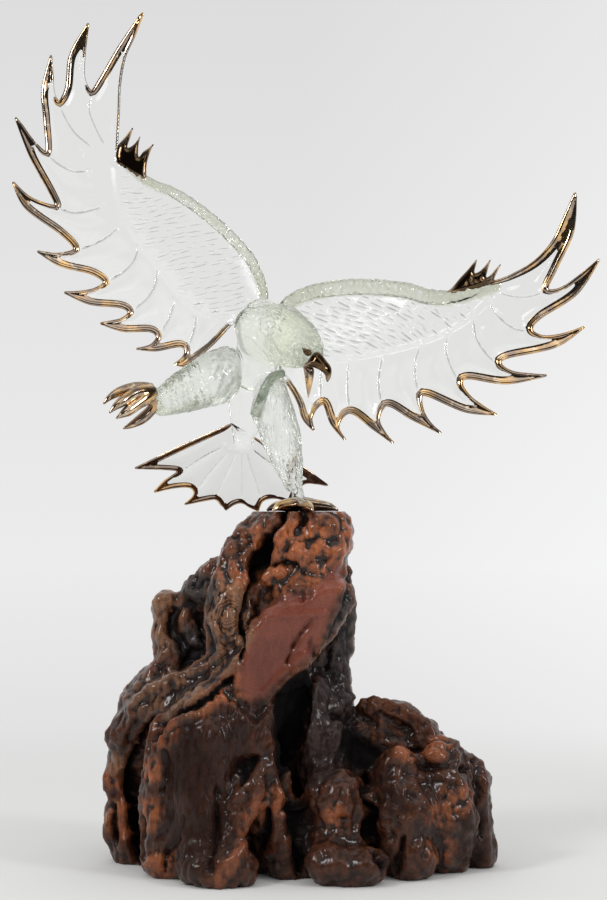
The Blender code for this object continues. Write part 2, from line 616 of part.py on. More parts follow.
def main():
    for old in list(bpy.data.objects):
        bpy.data.objects.remove(old)
    scene = bpy.context.scene.collection
    part = bpy.data.collections.new("glass_eagle_on_burl")
    helpers = bpy.data.collections.new("helpers")
    scene.children.link(part)
    scene.children.link(helpers)
    eagle = build_eagle(part, helpers)
    burl = build_burl(part, helpers)
    for helper in helpers.all_objects:
        helper.hide_render = True
        helper.display_type = "WIRE"
    finish_material(eagle, "clear_glass", (0.93, 0.97, 0.93), 0.03, 0.0, 1.0)
    finish_material(burl, "polished_burl", (0.16, 0.05, 0.025), 0.3, 0.0, 0.0)


main()
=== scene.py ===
import math

import bmesh
import bpy
import numpy as np
from mathutils import Matrix, Vector, noise
from mathutils.bvhtree import BVHTree
from mathutils.geometry import delaunay_2d_cdt
from mathutils.kdtree import KDTree


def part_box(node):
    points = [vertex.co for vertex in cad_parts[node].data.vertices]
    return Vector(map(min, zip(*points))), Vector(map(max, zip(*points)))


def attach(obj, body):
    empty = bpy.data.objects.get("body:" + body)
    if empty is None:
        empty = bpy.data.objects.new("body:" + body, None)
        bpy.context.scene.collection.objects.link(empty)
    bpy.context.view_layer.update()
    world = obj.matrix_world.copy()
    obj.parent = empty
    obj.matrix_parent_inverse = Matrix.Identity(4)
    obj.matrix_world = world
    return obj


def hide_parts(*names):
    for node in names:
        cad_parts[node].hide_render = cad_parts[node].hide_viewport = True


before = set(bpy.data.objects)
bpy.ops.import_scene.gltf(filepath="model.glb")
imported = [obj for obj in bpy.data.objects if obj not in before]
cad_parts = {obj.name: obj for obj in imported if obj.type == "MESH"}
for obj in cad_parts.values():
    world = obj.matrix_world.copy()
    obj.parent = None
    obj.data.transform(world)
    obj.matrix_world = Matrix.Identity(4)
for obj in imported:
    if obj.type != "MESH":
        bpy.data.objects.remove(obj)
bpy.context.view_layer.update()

# All is laid out from one front drawing: x to the right and y down in pixels, depth away from the viewer
drawing = {
    "unit": 0.00068,  # metres to a pixel at the foot
    "viewPixels": 1838,  # how far off the viewer stands
    "footX": 303.5,
    "topY": 511,
    "topHeight": 0.2413,  # metres from the ground to the seat of the glass
}


def front(x, y, depth):
    spread = (1 + depth / drawing["viewPixels"]) * drawing["unit"]
    height = drawing["topHeight"] + (drawing["topY"] - y) * spread
    return np.stack([(x - drawing["footX"]) * spread, depth * drawing["unit"], height], -1)


def drawn(points):
    depth = points[:, 1] / drawing["unit"]
    spread = (1 + depth / drawing["viewPixels"]) * drawing["unit"]
    x = points[:, 0] / spread + drawing["footX"]
    return np.stack([x, drawing["topY"] - (points[:, 2] - drawing["topHeight"]) / spread, depth], 1)


def ease(low, high, value):
    share = np.clip((value - low) / (high - low), 0, 1)
    return share * share * (3 - 2 * share)


def smoothLine(points, steps):
    line = np.asarray(points, float)
    whole = np.concatenate([line[:1], line, line[-1:]])
    t = np.arange(steps)[:, None] / steps
    spans = []
    for a, b, c, d in zip(whole, whole[1:], whole[2:], whole[3:]):
        bend = (2 * a - 5 * b + 4 * c - d) * t ** 2 + (3 * b - a - 3 * c + d) * t ** 3
        spans.append(0.5 * (2 * b + (c - a) * t + bend))
    return np.concatenate([*spans, line[-1:]])


def evenly(line, spacing):
    run = np.concatenate([[0], np.cumsum(np.linalg.norm(np.diff(line[:, :2], axis=0), axis=1))])
    places = np.linspace(0, run[-1], max(2, round(run[-1] / spacing) + 1))
    return np.stack([np.interp(places, run, column) for column in line.T], 1)


def toLine(points, line):
    # How far each point lies from the line, and how far along it, in steps of its points
    starts, runs = line[:-1, :2], np.diff(line[:, :2], axis=0)
    lengths = np.maximum((runs ** 2).sum(1), 1e-12)
    away, where = np.empty(len(points)), np.empty(len(points))
    for first in range(0, len(points), 2000):
        part = slice(first, first + 2000)
        offset = points[part, None, :2] - starts
        share = np.clip((offset * runs).sum(2) / lengths, 0, 1)
        gap = np.linalg.norm(offset - share[..., None] * runs, axis=2)
        nearest = gap.argmin(1)
        rows = np.arange(len(nearest))
        away[part] = gap[rows, nearest]
        where[part] = nearest + share[rows, nearest]
    return away, where


def along(line, where, column):
    return np.interp(where, np.arange(len(line)), line[:, column])


def within(points, corners):
    crossings = np.zeros(len(points), int)
    for a, b in zip(corners, np.roll(corners, -1, axis=0)):
        level = (a[1] > points[:, 1]) != (b[1] > points[:, 1])
        if a[1] != b[1]:
            crossings += level & (points[:, 0] < a[0] + (points[:, 1] - a[1]) * (b[0] - a[0]) / (b[1] - a[1]))
    return crossings % 2 == 1


def scatter(cells, seed):
    # A steady number from 0 to 1 for each pair of whole numbers
    return np.modf(np.abs(np.sin(cells[0] * 127.1 + cells[1] * 311.7 + seed * 74.7) * 43758.5453))[0]


def treeOf(points):
    tree = KDTree(len(points))
    for index, (x, y) in enumerate(points):
        tree.insert((x, y, 0), index)
    tree.balance()
    return tree


def closed(outline):
    return np.concatenate([outline, outline[:1]])


def gridWithin(outline, spacing, rowSpacing, margin):
    # Staggered rows of points inside the outline, clear of its rim
    low, high = outline.min(0), outline.max(0)
    x, y = np.meshgrid(np.arange(low[0], high[0], spacing), np.arange(low[1], high[1], rowSpacing))
    x = x + (np.arange(len(x)) % 2)[:, None] * spacing / 2
    points = np.column_stack([x.ravel(), y.ravel()])
    points = points[within(points, outline)]
    return points[toLine(points, closed(outline))[0] > margin]


def triangulated(outline, points):
    # A flat mesh of the outline with the points inside it, and where each point of the outline went
    given = [Vector(place) for place in np.concatenate([outline, points]).tolist()]
    rim = [(index, (index + 1) % len(outline)) for index in range(len(outline))]
    flat, _, triangles, origins, *_ = delaunay_2d_cdt(given, rim, [], 1, 1e-4)
    found = {origin: index for index, came in enumerate(origins) for origin in came}
    return np.array([tuple(place) for place in flat]), np.array(triangles), [found[index] for index, _ in rim]


def linked(name, data):
    made = bpy.data.objects.new(name, data)
    bpy.context.scene.collection.objects.link(made)
    return made


def fromShape(name, shape):
    mesh = bpy.data.meshes.new(name)
    shape.to_mesh(mesh)
    shape.free()
    return linked(name, mesh)


def newObject(name, places, faces, gilded=None):
    mesh = bpy.data.meshes.new(name)
    mesh.from_pydata(np.asarray(places).tolist(), [], faces)
    if gilded is not None:
        mesh.polygons.foreach_set("material_index", np.asarray(gilded, np.int32))
    shape = bmesh.new()
    shape.from_mesh(mesh)
    bmesh.ops.recalc_face_normals(shape, faces=shape.faces)
    shape.to_mesh(mesh)
    shape.free()
    return linked(name, mesh)


def openEdges(made):
    shape = bmesh.new()
    shape.from_mesh(made.data)
    count = sum(not edge.is_manifold for edge in shape.edges)
    shape.free()
    return count


def applied(made):
    graph = bpy.context.evaluated_depsgraph_get()
    made.data = bpy.data.meshes.new_from_object(made.evaluated_get(graph))
    made.modifiers.clear()
    return made


# Wings: the feather edge from the alula round to the body, one stretch from tip to tip with its notch at
# the fourth point, and the lines where one feather laps the next
leftWing = {
    "shoulder": (262, 310),
    "reach": (-172, -250),
    "leading": [(252, 318), (264, 297), (253, 264), (232, 238), (204, 213), (174, 193), (146, 180),
                (121, 158)],
    "rodRadius": 6.0,
    "rodBlock": 4.0,
    "firstEdge": [(116, 150), (118, 116), (119.5, 83), (124.5, 56), (133, 37), (142, 13)],
    "firstRadii": [1.7, 1.7, 1.9, 2.2],
    "firstGilding": [0.5, 0.5, 0.6, 6.5],
    "stretches": [
        [(142, 13), (119.4, 48), (101, 80), (91.5, 92.5), (84, 81), (83, 62), (88, 24)],
        [(88, 24), (71.3, 55), (67.5, 88), (59, 103.5), (53, 93), (51.5, 75), (51, 56)],
        [(51, 56), (43.4, 90), (46, 120), (47.5, 153), (34, 143), (21.5, 126), (15.7, 118)],
        [(15.7, 118), (31.5, 156), (52, 193), (57, 206), (46, 205), (28, 197), (13.3, 182.5)],
        [(13.3, 182.5), (26.5, 207), (61, 232), (76, 249), (60, 254.5), (46, 253.5), (38, 251.5)],
        [(38, 251.5), (61, 264.5), (92, 272), (105.5, 282), (95, 289.5), (80, 292.5), (65, 292.5)],
        [(65, 292.5), (90, 302.5), (121, 305.5), (130.3, 312.5), (122, 319.5), (112, 322), (101, 323.3)],
        [(101, 323.3), (123, 329.5), (150, 329.5), (158.5, 336.6), (153, 344.5), (146, 347.8), (137, 348.7)],
        [(137, 348.7), (156, 349), (180, 344.5), (186.8, 351), (182, 359.5), (175, 364)],
        [(175, 364), (187, 363.5), (209.6, 345), (229, 324.5), (243, 312)],
    ],
    "quills": [
        [(91.5, 93), (89, 110), (97, 131), (106, 147)],
        [(59, 104), (67, 121), (78, 136), (95, 149)],
        [(47.5, 154), (60, 165), (75.5, 171.6), (90, 170)],
        [(57, 207), (71.4, 212.4), (86, 211.4), (103, 206)],
        [(76, 250), (92, 245), (107, 237), (119, 226)],
        [(105.5, 282), (123, 272), (134.5, 259), (138, 246)],
        [(130.3, 312), (147, 298), (156, 282), (157, 266)],
        [(158.5, 336), (169, 318), (175, 299)],
        [(186.8, 350), (194, 330), (197, 312)],
    ],
    "coverts": [(257, 316), (262, 297), (250, 264), (230, 239), (203, 215), (173, 196), (144, 182),
                (118, 160), (108, 165), (112, 200), (128, 232), (150, 262), (172, 290), (197, 314),
                (226, 322)],
    "combCentre": (110, -245),
    "combSpacing": 5.2,
    "combSlant": 0.02,
    "combBow": -0.12,
    "combDepth": 1.3,
    "covertSlope": 11.0,
    "blobs": [(82, 153, 5), (88, 171, 4.5), (91, 189, 5.5), (89, 204, 4.5), (101, 178, 3.5), (104, 165, 4),
              (100, 212, 3.5), (196, 318, 4)],
    "gilding": [9.5, 4.8, 4.2, 3.8, 1.6, 2.0, 9.5],
    "gildingOf": {0: [9.5, 5.0, 4.4, 3.4, -1, -1, 8.0], 1: [9.5, 5.0, 4.4, 3.4, -1, -1, 8.0],
                  2: [9.5, 5.0, 4.2, 3.6, 0, 0.8, 9.0], 9: [9.5, 4.6, 1.0, -1, 0, 0, 0]},
    "alula": [(117, 164), (115.7, 156), (117.5, 146), (124, 138), (132.8, 127.4), (130.4, 137),
              (127.3, 146.8), (131, 146.4), (135.5, 142.5), (140.2, 136.3), (138.4, 146), (138.6, 156.5),
              (143, 151.8), (148, 148.2), (153.8, 143.8), (149.8, 153), (146.7, 165), (146.6, 176),
              (147.6, 182), (135, 176), (124, 169)],
}
rightWing = {
    "shoulder": (282, 318),
    "reach": (305, -70),
    "leading": [(276, 322), (289, 302), (312, 292), (345, 287), (375, 287), (405, 290), (432, 297),
                (462, 295), (492, 285)],
    "rodRadius": 8.6,
    "rodBlock": 6.5,
    "firstEdge": [(488, 284), (510, 276.6), (535.8, 261.7), (555, 240.4), (566.7, 215), (575.8, 193.5)],
    "firstRadii": [1.7, 2.2, 2.9, 2.2],
    "firstGilding": [1.8, 4.8, 7.0, 5.0],
    "stretches": [
        [(575.8, 193.5), (572, 231), (556, 266), (546, 289), (560, 289.5), (580, 276.5), (599.2, 259.5)],
        [(599.2, 259.5), (576.3, 292.6), (539, 317), (530.5, 330), (543, 337), (563, 335), (583.8, 327.2)],
        [(583.8, 327.2), (555, 345.5), (506, 356.3), (500, 365), (512, 372.5), (530, 375), (546, 375.5)],
        [(546, 375.5), (506.6, 382), (468, 376.6), (460.5, 383.5), (468.5, 396), (481, 406), (496, 414.4)],
        [(496, 414.4), (465, 410), (428, 394), (420, 397), (422.7, 412), (430, 424), (440.5, 432.7)],
        [(440.5, 432.7), (412, 417.5), (391.5, 404.7), (382.5, 406.5), (378, 420), (384, 433), (393, 442.8)],
        [(393, 442.8), (373, 427), (354, 412), (343, 414.5), (337.5, 428), (345, 439.8)],
        [(345, 439.8), (332.4, 423), (325, 403), (316.5, 406), (310.5, 419), (313.7, 430)],
        [(313.7, 430), (304.4, 418.7), (300, 403), (292.6, 388.6), (282, 374)],
    ],
    "quills": [
        [(546, 291), (530.5, 296.3), (514, 296.5), (498, 292)],
        [(530.5, 331), (514.5, 328.5), (498, 316), (489.5, 302)],
        [(500, 366), (485, 352), (475.4, 335), (474, 317)],
        [(460.5, 383.5), (451, 366), (446.3, 350), (448, 335)],
        [(420, 396), (415.5, 378), (416, 360), (421, 345)],
        [(383, 406), (379, 388), (380, 370), (384, 354)],
        [(350, 411), (348, 392), (348, 374), (350, 361)],
        [(321, 402), (321, 384), (322, 366)],
    ],
    "coverts": [(278, 322), (290, 304), (312, 294), (345, 289), (375, 289), (405, 292), (432, 299),
                (462, 297), (490, 287), (497, 294), (478, 316), (452, 334), (420, 347), (385, 356),
                (345, 363), (310, 365), (284, 356)],
    "combCentre": (301, 551),
    "combSpacing": 4.9,
    "combSlant": -0.12,
    "combBow": 0.10,
    "combDepth": 1.35,
    "covertSlope": 8.0,
    "blobs": [(484, 330, 5), (499, 312, 4.5), (368, 345, 4)],
    "gilding": [9.5, 5.4, 4.8, 4.2, 1.4, 2.0, 9.5],
    "gildingOf": {8: [9.5, 4.4, 3.4, -1, 0, 0, 0]},
    "alula": [(446, 292), (452, 287.5), (460, 278), (467.5, 270), (476.8, 259.5), (474.5, 272), (479, 271.5),
              (484.5, 266.5), (490.7, 259.4), (487.5, 271), (486.5, 277), (491, 274.5), (495.5, 269),
              (501, 263.8), (498, 271), (494.5, 279), (498, 281), (490, 284), (478, 289), (465, 292.5),
              (455, 294)],
}
tail = {
    "edges": [
        [(232, 424), (221.8, 428.8), (179, 448), (135.7, 468)],
        [(135.7, 468), (160, 468), (177, 469), (179.5, 472), (166, 480.5), (155, 491.6)],
        [(155, 491.6), (174.6, 486.5), (190, 486), (195.5, 492), (192, 498.5), (185.5, 504)],
        [(185.5, 504), (203.3, 499.6), (216, 498), (222.5, 504.5), (226, 509.5)],
        [(226, 509.5), (233, 503.5), (241, 501.5), (249, 506), (258, 510.5)],
        [(258, 510.5), (261, 501), (270, 497), (282, 499), (291, 504)],
        [(291, 504), (294, 493), (303, 483), (315, 483), (327, 485)],
        [(327, 485), (304.6, 469.4), (280, 454.5), (254, 438)],
    ],
    "quills": [
        [(180, 471.5), (193.8, 462.6), (208, 453.5), (225, 446)],
        [(195.5, 491), (203, 481.5), (213, 468), (230, 450)],
        [(217, 498), (220.5, 486), (229, 468), (237, 450)],
        [(241, 501), (242, 484), (242, 467), (242, 450)],
        [(261, 501), (256.5, 483), (251, 467), (246, 450)],
        [(303, 483), (284, 471), (267, 460), (250, 447)],
    ],
    "notches": [3, 3, 3, 2, 2, 2],
}
# Glass sheets, in pixels of the drawing. The seven numbers of an edge run from tip to tip by way of its notch
glassSheet = {
    "edgeStations": [0, 1, 2, 3, 4, 5, 6],
    "edgeRadii": [1.3, 2.5, 2.9, 2.8, 2.0, 2.1, 1.3],
    "tailRadii": [1.2, 2.0, 2.3, 2.2, 1.3, 1.4, 1.2],
    "tailGilding": [4.0, 3.4, 3.0, 2.8, 1.6, 2.2, 4.0],
    "tailFirst": ([1.2, 1.6, 1.8, 1.2], [0.5, 3.0, 3.4, 4.0]),
    "tailLast": ([1.2, 1.7, 1.6, 1.3], [4.0, 6.0, 2.4, 0.5]),
    "tailHalf": 1.0,
    "tailSwell": 0.9,
    "thinHalf": 1.15,
    "swell": 0.95,
    "swellReach": 12,
    "leastHalf": 0.3,
    "alulaHalf": (0.3, 4.4, 6.5),
    "bladeHalf": (0.3, 5.5, 0.75),
    "pillow": 1.6,
    "featherWidth": 26,
    "lap": 0.3,
    "lapReach": 4.0,
    "groove": 1.3,
    "grooveHalf": 0.6,
    "covertHalf": 3.9,
    "covertBack": 0.7,
    "leastGap": 2.2,
    # Where the mesh has its points: along the beads, across them, beside the quills and in between
    "rowSpacing": 1.9,
    "rowShares": (0.86, 0.5, 0, -0.5, -0.9),
    "fineSpacing": 1.8,
    "quillOffsets": (0, -0.75, 0.75, -1.7, 1.7, -3.4, 3.4),
    "footOffsets": (0, -1.5, 1.5, -3, 3),
    "pointGap": 0.55,
    "rimGap": 0.12,
    "coarseSpacing": 2.7,
    "backSpacing": 4.2,
}
# How far back each wing and the tail lie: at their root, how fast they go back, and how they curve
wingSweep = {"root": 12, "back": 104, "curl": 50, "bow": 0.0015}
tailSweep = {"root": 20, "back": 0.78, "bow": 0.0016, "middle": (240, 430)}


def wingDepth(wing, x, y):
    alongX, alongY = wing["reach"]
    length = math.hypot(alongX, alongY)
    dx, dy = x - wing["shoulder"][0], y - wing["shoulder"][1]
    share = (dx * alongX + dy * alongY) / length ** 2
    across = (dx * alongY - dy * alongX) / length
    return (wingSweep["root"] + wingSweep["back"] * share - wingSweep["curl"] * share ** 2
            - wingSweep["bow"] * across ** 2)


def tailDepth(x, y):
    middle, top = tailSweep["middle"]
    return tailSweep["root"] + tailSweep["back"] * (y - top) - tailSweep["bow"] * (x - middle) ** 2


def edgeLine(points, notch, radii, gilding, stations):
    # Columns: x, y, bead radius, gilded width
    count = len(points) - 1
    steps = np.arange(count + 1, dtype=float)
    if notch is None:
        place = stations[0] + (stations[-1] - stations[0]) * steps / count
    else:
        place = np.where(steps <= notch, 3 * steps / notch, 3 + 3 * (steps - notch) / max(count - notch, 1))
    line = evenly(smoothLine(np.column_stack([points, place]), 10), glassSheet["rowSpacing"])
    return np.column_stack([line[:, :2], np.interp(line[:, 2], stations, radii),
                            np.interp(line[:, 2], stations, gilding)])


def outward(line, side):
    run = np.gradient(line[:, :2], axis=0)
    run /= np.linalg.norm(run, axis=1)[:, None]
    return np.column_stack([run[:, 1], -run[:, 0]]) * side


def clearOf(points, lines, column, slack, scale=1.0):
    # Points that lie outside the beads, or outside the gilding, of every edge
    free = np.ones(len(points), bool)
    for line in lines:
        away, where = toLine(points, line)
        free &= away > along(line, where, column) * scale - slack
    return free


def nearestEdge(points, edges, column):
    # How far the nearest edge lies, its value, and how wide a strip both it and the next edge leave free
    nearest, second = np.full(len(points), np.inf), np.full(len(points), np.inf)
    value, other = np.zeros(len(points)), np.zeros(len(points))
    for line in edges:
        away, where = toLine(points, line)
        here = along(line, where, column)
        first, next = away < nearest, away < second
        other = np.where(first, value, np.where(next, here, other))
        second = np.where(first, nearest, np.where(next, away, second))
        value = np.where(first, here, value)
        nearest = np.minimum(away, nearest)
    return nearest, value, nearest + second - value - other


def spaced(fixed, added, gap):
    # The fixed points, and those added that lie clear of them
    if not len(added):
        return fixed
    tree = treeOf(fixed)
    return np.concatenate([fixed, added[[tree.find((x, y, 0))[2] > gap for x, y in added]]])


def thinnedOut(points, gap):
    tree = treeOf(points)
    dropped = np.zeros(len(points), bool)
    for index, (x, y) in enumerate(points):
        if not dropped[index]:
            for _, other, _ in tree.find_range((x, y, 0), gap):
                dropped[other] |= other != index
    return points[~dropped]


def sheetOutline(start, edges, side):
    # Round the outside of every bead, with a point at each feather's tip
    outline = [start]
    for index, line in enumerate(edges):
        if index:
            before, tip = edges[index - 1], line[0, :2]
            point = 2 * tip - before[-3, :2] - line[2, :2]
            outline.append((tip + point / np.linalg.norm(point) * line[0, 2])[None])
        edge = line[:, :2] + outward(line, side) * line[:, 2:3]
        outline.append(edge[clearOf(edge, edges, 2, glassSheet["rimGap"])])
    return np.concatenate(outline)


def beadRows(edges, side, outline, loop):
    # Points across every bead, and along the edge of its gilding
    kept, limits = [], []
    for line in edges:
        away = outward(line, side)
        for share in glassSheet["rowShares"]:
            points = line[:, :2] + away * line[:, 2:3] * share
            gap, _ = toLine(points, loop)
            inside = within(points, outline) & (gap > (1 - share) * line[:, 2] * 0.93 - 0.02)
            kept.append(points[inside & (gap > glassSheet["rimGap"])])
        limits.append(line[:, :2] - away * line[:, 3:4])
    limit = np.concatenate([points[clearOf(points, edges, 3, 0.15) & within(points, outline)]
                            for points in limits])
    kept.append(limit[toLine(limit, loop)[0] > 0.3])
    return np.concatenate(kept)


def sheetPiece(name, start, edges, depthAt, relief, halfAt, fine):
    # Glass between the outline's edges, with relief on its front (-1) and a plainer back (1)
    start = np.asarray(start, float).reshape(-1, 2)
    beads = np.concatenate([line[:, :2] for line in edges])
    corners = np.concatenate([start, beads])
    side = 1 if np.cross(corners, np.roll(corners, -1, axis=0)).sum() > 0 else -1
    outline = sheetOutline(start, edges, side)
    loop = closed(outline)
    kept = beadRows(edges, side, outline, loop)
    places, faces, flags, rings = [], [], [], []
    for facing, spacing in ((-1, glassSheet["coarseSpacing"]), (1, glassSheet["backSpacing"])):
        points = thinnedOut(kept, glassSheet["pointGap"])
        for extra in fine if facing < 0 else []:
            extra = extra[within(extra, outline)]
            points = spaced(points, extra[toLine(extra, loop)[0] > 0.5], 0.5)
        points = spaced(points, gridWithin(outline, spacing, spacing * 0.866, spacing * 0.5), spacing * 0.6)
        flat, triangles, rim = triangulated(outline, points)
        edge, _ = toLine(flat, loop)
        nearest, radius, _ = nearestEdge(flat, edges, 2)
        half = halfAt(flat, nearest, edge, radius, facing)
        if facing < 0:
            half = half + relief(flat, nearest, radius)
        first = len(places)
        places += list(front(flat[:, 0], flat[:, 1], depthAt(flat[:, 0], flat[:, 1]) + facing * half))
        nearest, gilding, free = nearestEdge(flat[triangles].mean(1), edges, 3)
        flags += list((nearest < gilding) | (free < glassSheet["leastGap"]))
        faces += (triangles + first).tolist()
        rings.append([first + index for index in rim])
    near, far = rings
    onBead = toLine(outline, beads)[0] < 3.5
    for index in range(len(near)):
        after = (index + 1) % len(near)
        faces.append([near[index], near[after], far[after], far[index]])
        flags.append(bool(onBead[index] and onBead[after]))
    made = newObject(name, places, faces, flags)
    print(name, len(places), "points, open edges", openEdges(made))
    return made


def featherSides(edges, quills):
    # For each feather, the lines of its two long sides
    sides = []
    for index, quill in enumerate(quills + [None]):
        before, after = edges[index][:, :2], edges[index + 1][:, :2]
        if index:
            notch = toLine(np.array([quills[index - 1][0]], float), edges[index])[1][0]
            before = np.concatenate([smoothLine(quills[index - 1], 8)[::-1], before[int(notch):]])
        if quill is not None:
            notch = toLine(np.array([quill[0]], float), edges[index + 1])[1][0]
            after = np.concatenate([after[:int(notch) + 1], smoothLine(quill, 8)])
        sides.append((before, after))
    return sides


def blob(points, x, y, radius):
    return np.exp(-((points[:, 0] - x) ** 2 + (points[:, 1] - y) ** 2) / radius ** 2)


def featherRelief(sides, points, quills):
    # Each feather swells along its middle and has a lip on one side. A groove follows each quill
    height = np.zeros(len(points))
    for before, after in sides:
        inside = within(points, np.concatenate([before, after]))
        if not inside.any():
            continue
        here = points[inside]
        one, two = toLine(here, before)[0], toLine(here, after)[0]
        fromRoot, _ = toLine(here, np.array([after[-1], before[0]]))
        crown = np.sin(math.pi * one / np.maximum(one + two, 1e-6)) ** 2
        wide = np.minimum((one + two) / glassSheet["featherWidth"], 1.3)
        lip = np.exp(-two / glassSheet["lapReach"]) * glassSheet["lap"] * ease(0, 10, fromRoot)
        height[inside] = glassSheet["pillow"] * crown * ease(2, 26, fromRoot) * wide + lip
    for quill in quills:
        away, where = toLine(points, smoothLine(quill, 8))
        end = len(quill) * 8 - 8
        height -= (glassSheet["groove"] * np.exp(-(away / glassSheet["grooveHalf"]) ** 2) * ease(0, 4, where)
                   * ease(end, end - 4, where))
        height += blob(points, *quill[-1], 2.4)
    return height


def withBead(sheet, nearest, edge, radius):
    # Half the thickness of the glass: a round bead along its edge, then the sheet
    bead = np.sqrt(np.maximum(radius ** 2 - (radius - edge) ** 2, 0))
    bead = np.where((edge < 2 * radius) & (nearest < 2 * radius), bead, 0)
    onRim = (edge < radius) & (nearest < 2 * radius)
    return np.where(onRim, np.maximum(bead, glassSheet["leastHalf"]), np.maximum(bead, sheet))


def swelling(nearest, most):
    return most * (1 - np.exp(-nearest / glassSheet["swellReach"]))


def besideQuills(quills, offsets):
    rows = []
    for quill in quills:
        line = evenly(smoothLine(quill, 8), glassSheet["fineSpacing"])
        rows += [line[2:] + outward(line, 1)[2:] * offset for offset in offsets]
    return np.concatenate(rows)


# Strokes in the coverts: each has four rows of points, as how far across and which share of its depth
strokes = {
    "rows": ((-1.0, 0), (-0.15, -0.75), (0.55, 0.25), (1.9, 0)),
    # Each of these three is the least, and how much more it may be
    "length": (7, 8),
    "gap": (1.5, 3.5),
    "depth": (0.4, 0.8),
    "turn": 0.3,
    "stray": 2.6,
    "fromFoot": 5,
}


def combStrokes(wing, coverts, foot):
    # Short strokes pressed into the coverts, in rows that curve round one centre
    centre = np.array(wing["combCentre"], float)
    leading = smoothLine(wing["leading"], 6)
    corners = coverts[:, :2] - centre
    low, high = np.hypot(*corners.T).min(), np.hypot(*corners.T).max()
    turns = np.arctan2(corners[:, 1], corners[:, 0])
    places, heights = [], []
    leastLength, moreLength = strokes["length"]
    gap, moreGap = strokes["gap"]
    depth, moreDepth = strokes["depth"]
    for row in range(int((high - low) / wing["combSpacing"])):
        radius = low + (row + 0.5) * wing["combSpacing"]
        at = turns.min() * radius
        step = 0
        while at < turns.max() * radius:
            pick = [float(scatter((row + 1, step + 1), seed)) for seed in range(1, 6)]
            length = leastLength + moreLength * pick[0]
            middle = (at + length / 2) / radius
            slant = wing["combSlant"] + strokes["turn"] * (pick[1] - 0.5)
            at += length + gap + moreGap * pick[2]
            step += 1
            run = np.linspace(-length / 2, length / 2, max(4, round(length / 1.9)))
            bow = wing["combBow"] * (run / length) ** 2 * length
            away = radius + (pick[3] - 0.5) * strokes["stray"] + run * math.tan(slant) + bow
            way = middle + run / radius
            line = centre + np.column_stack([np.cos(way), np.sin(way)]) * away[:, None]
            line[:, 1] += 1.5 * np.sin(line[:, 0] / 17)
            if not within(line, coverts).all() or toLine(line, foot)[0].min() < strokes["fromFoot"]:
                continue
            if toLine(line, leading)[0].min() < wing["rodRadius"] * 1.05:
                continue
            ends = np.sqrt(np.sin(math.pi * np.linspace(0.06, 0.94, len(run))))
            deep = wing["combDepth"] * (depth + moreDepth * pick[4]) * ends
            side = outward(line, 1)
            for across, height in strokes["rows"]:
                places.append(line + side * across)
                heights.append(deep * height)
    return np.concatenate(places), np.concatenate(heights)


def wingPiece(name, wing):
    stations = glassSheet["edgeStations"]
    edges = [edgeLine(wing["firstEdge"], None, wing["firstRadii"], wing["firstGilding"], stations[3:])]
    for index, stretch in enumerate(wing["stretches"]):
        notch = 3 if index < len(wing["quills"]) else len(stretch) - 1
        gilding = wing["gildingOf"].get(index, wing["gilding"])
        edges.append(edgeLine(stretch, notch, glassSheet["edgeRadii"], gilding, stations))
    coverts = evenly(smoothLine(wing["coverts"] + wing["coverts"][:1], 6), 2.0)[:, :2]
    sides = featherSides(edges, wing["quills"])
    foot = smoothLine(wing["coverts"][len(wing["leading"]) - 1:], 6)

    def covertShare(points, slope):
        return np.where(within(points, coverts), ease(0, slope, toLine(points, foot)[0]), 0)

    def halfAt(points, nearest, edge, radius, facing):
        sheet = glassSheet["thinHalf"] + swelling(nearest, glassSheet["swell"])
        slope, most = (wing["covertSlope"], 1) if facing < 0 else (14.0, glassSheet["covertBack"])
        sheet = sheet + (glassSheet["covertHalf"] - sheet) * covertShare(points, slope) * most
        return withBead(sheet, nearest, edge, radius)

    def relief(points, nearest, radius):
        feathers = featherRelief(sides, points, wing["quills"]) * (1 - covertShare(points, 3.0))
        comb = np.zeros(len(points))
        for index, (x, y) in enumerate(points):
            _, found, away = strokeTree.find((x, y, 0))
            if away < 0.05:
                comb[index] = strokeHeights[found]
        blobs = sum(1.3 * blob(points, x, y, size * 0.6) for x, y, size in wing["blobs"])
        return (feathers + blobs) * ease(1.0, 3.0, nearest / np.maximum(radius, 1)) + comb

    strokePlaces, strokeHeights = combStrokes(wing, coverts, foot)
    strokeTree = treeOf(strokePlaces)
    footLine = evenly(foot, glassSheet["fineSpacing"])
    footRows = [footLine + outward(footLine, 1) * offset for offset in glassSheet["footOffsets"]]
    fine = [besideQuills(wing["quills"], glassSheet["quillOffsets"]), np.concatenate(footRows), strokePlaces]
    return sheetPiece(name, wing["leading"][:-1], edges, lambda x, y: wingDepth(wing, x, y), relief, halfAt,
                      fine)


def tailPiece():
    stations = glassSheet["edgeStations"]
    first, *middle, last = tail["edges"]
    edges = [edgeLine(first, None, *glassSheet["tailFirst"], stations[3:])]
    for edge, notch in zip(middle, tail["notches"]):
        edges.append(edgeLine(edge, notch, glassSheet["tailRadii"], glassSheet["tailGilding"], stations))
    edges.append(edgeLine(last, None, *glassSheet["tailLast"], stations[:4]))
    sides = featherSides(edges, tail["quills"])

    def halfAt(points, nearest, edge, radius, facing):
        sheet = glassSheet["tailHalf"] + swelling(nearest, glassSheet["tailSwell"])
        return withBead(sheet, nearest, edge, radius)

    def relief(points, nearest, radius):
        return featherRelief(sides, points, tail["quills"]) * ease(1.0, 3.0, nearest / np.maximum(radius, 1))

    fine = [besideQuills(tail["quills"], glassSheet["quillOffsets"][:5])]
    return sheetPiece("tailSheet", [], edges, tailDepth, relief, halfAt, fine)


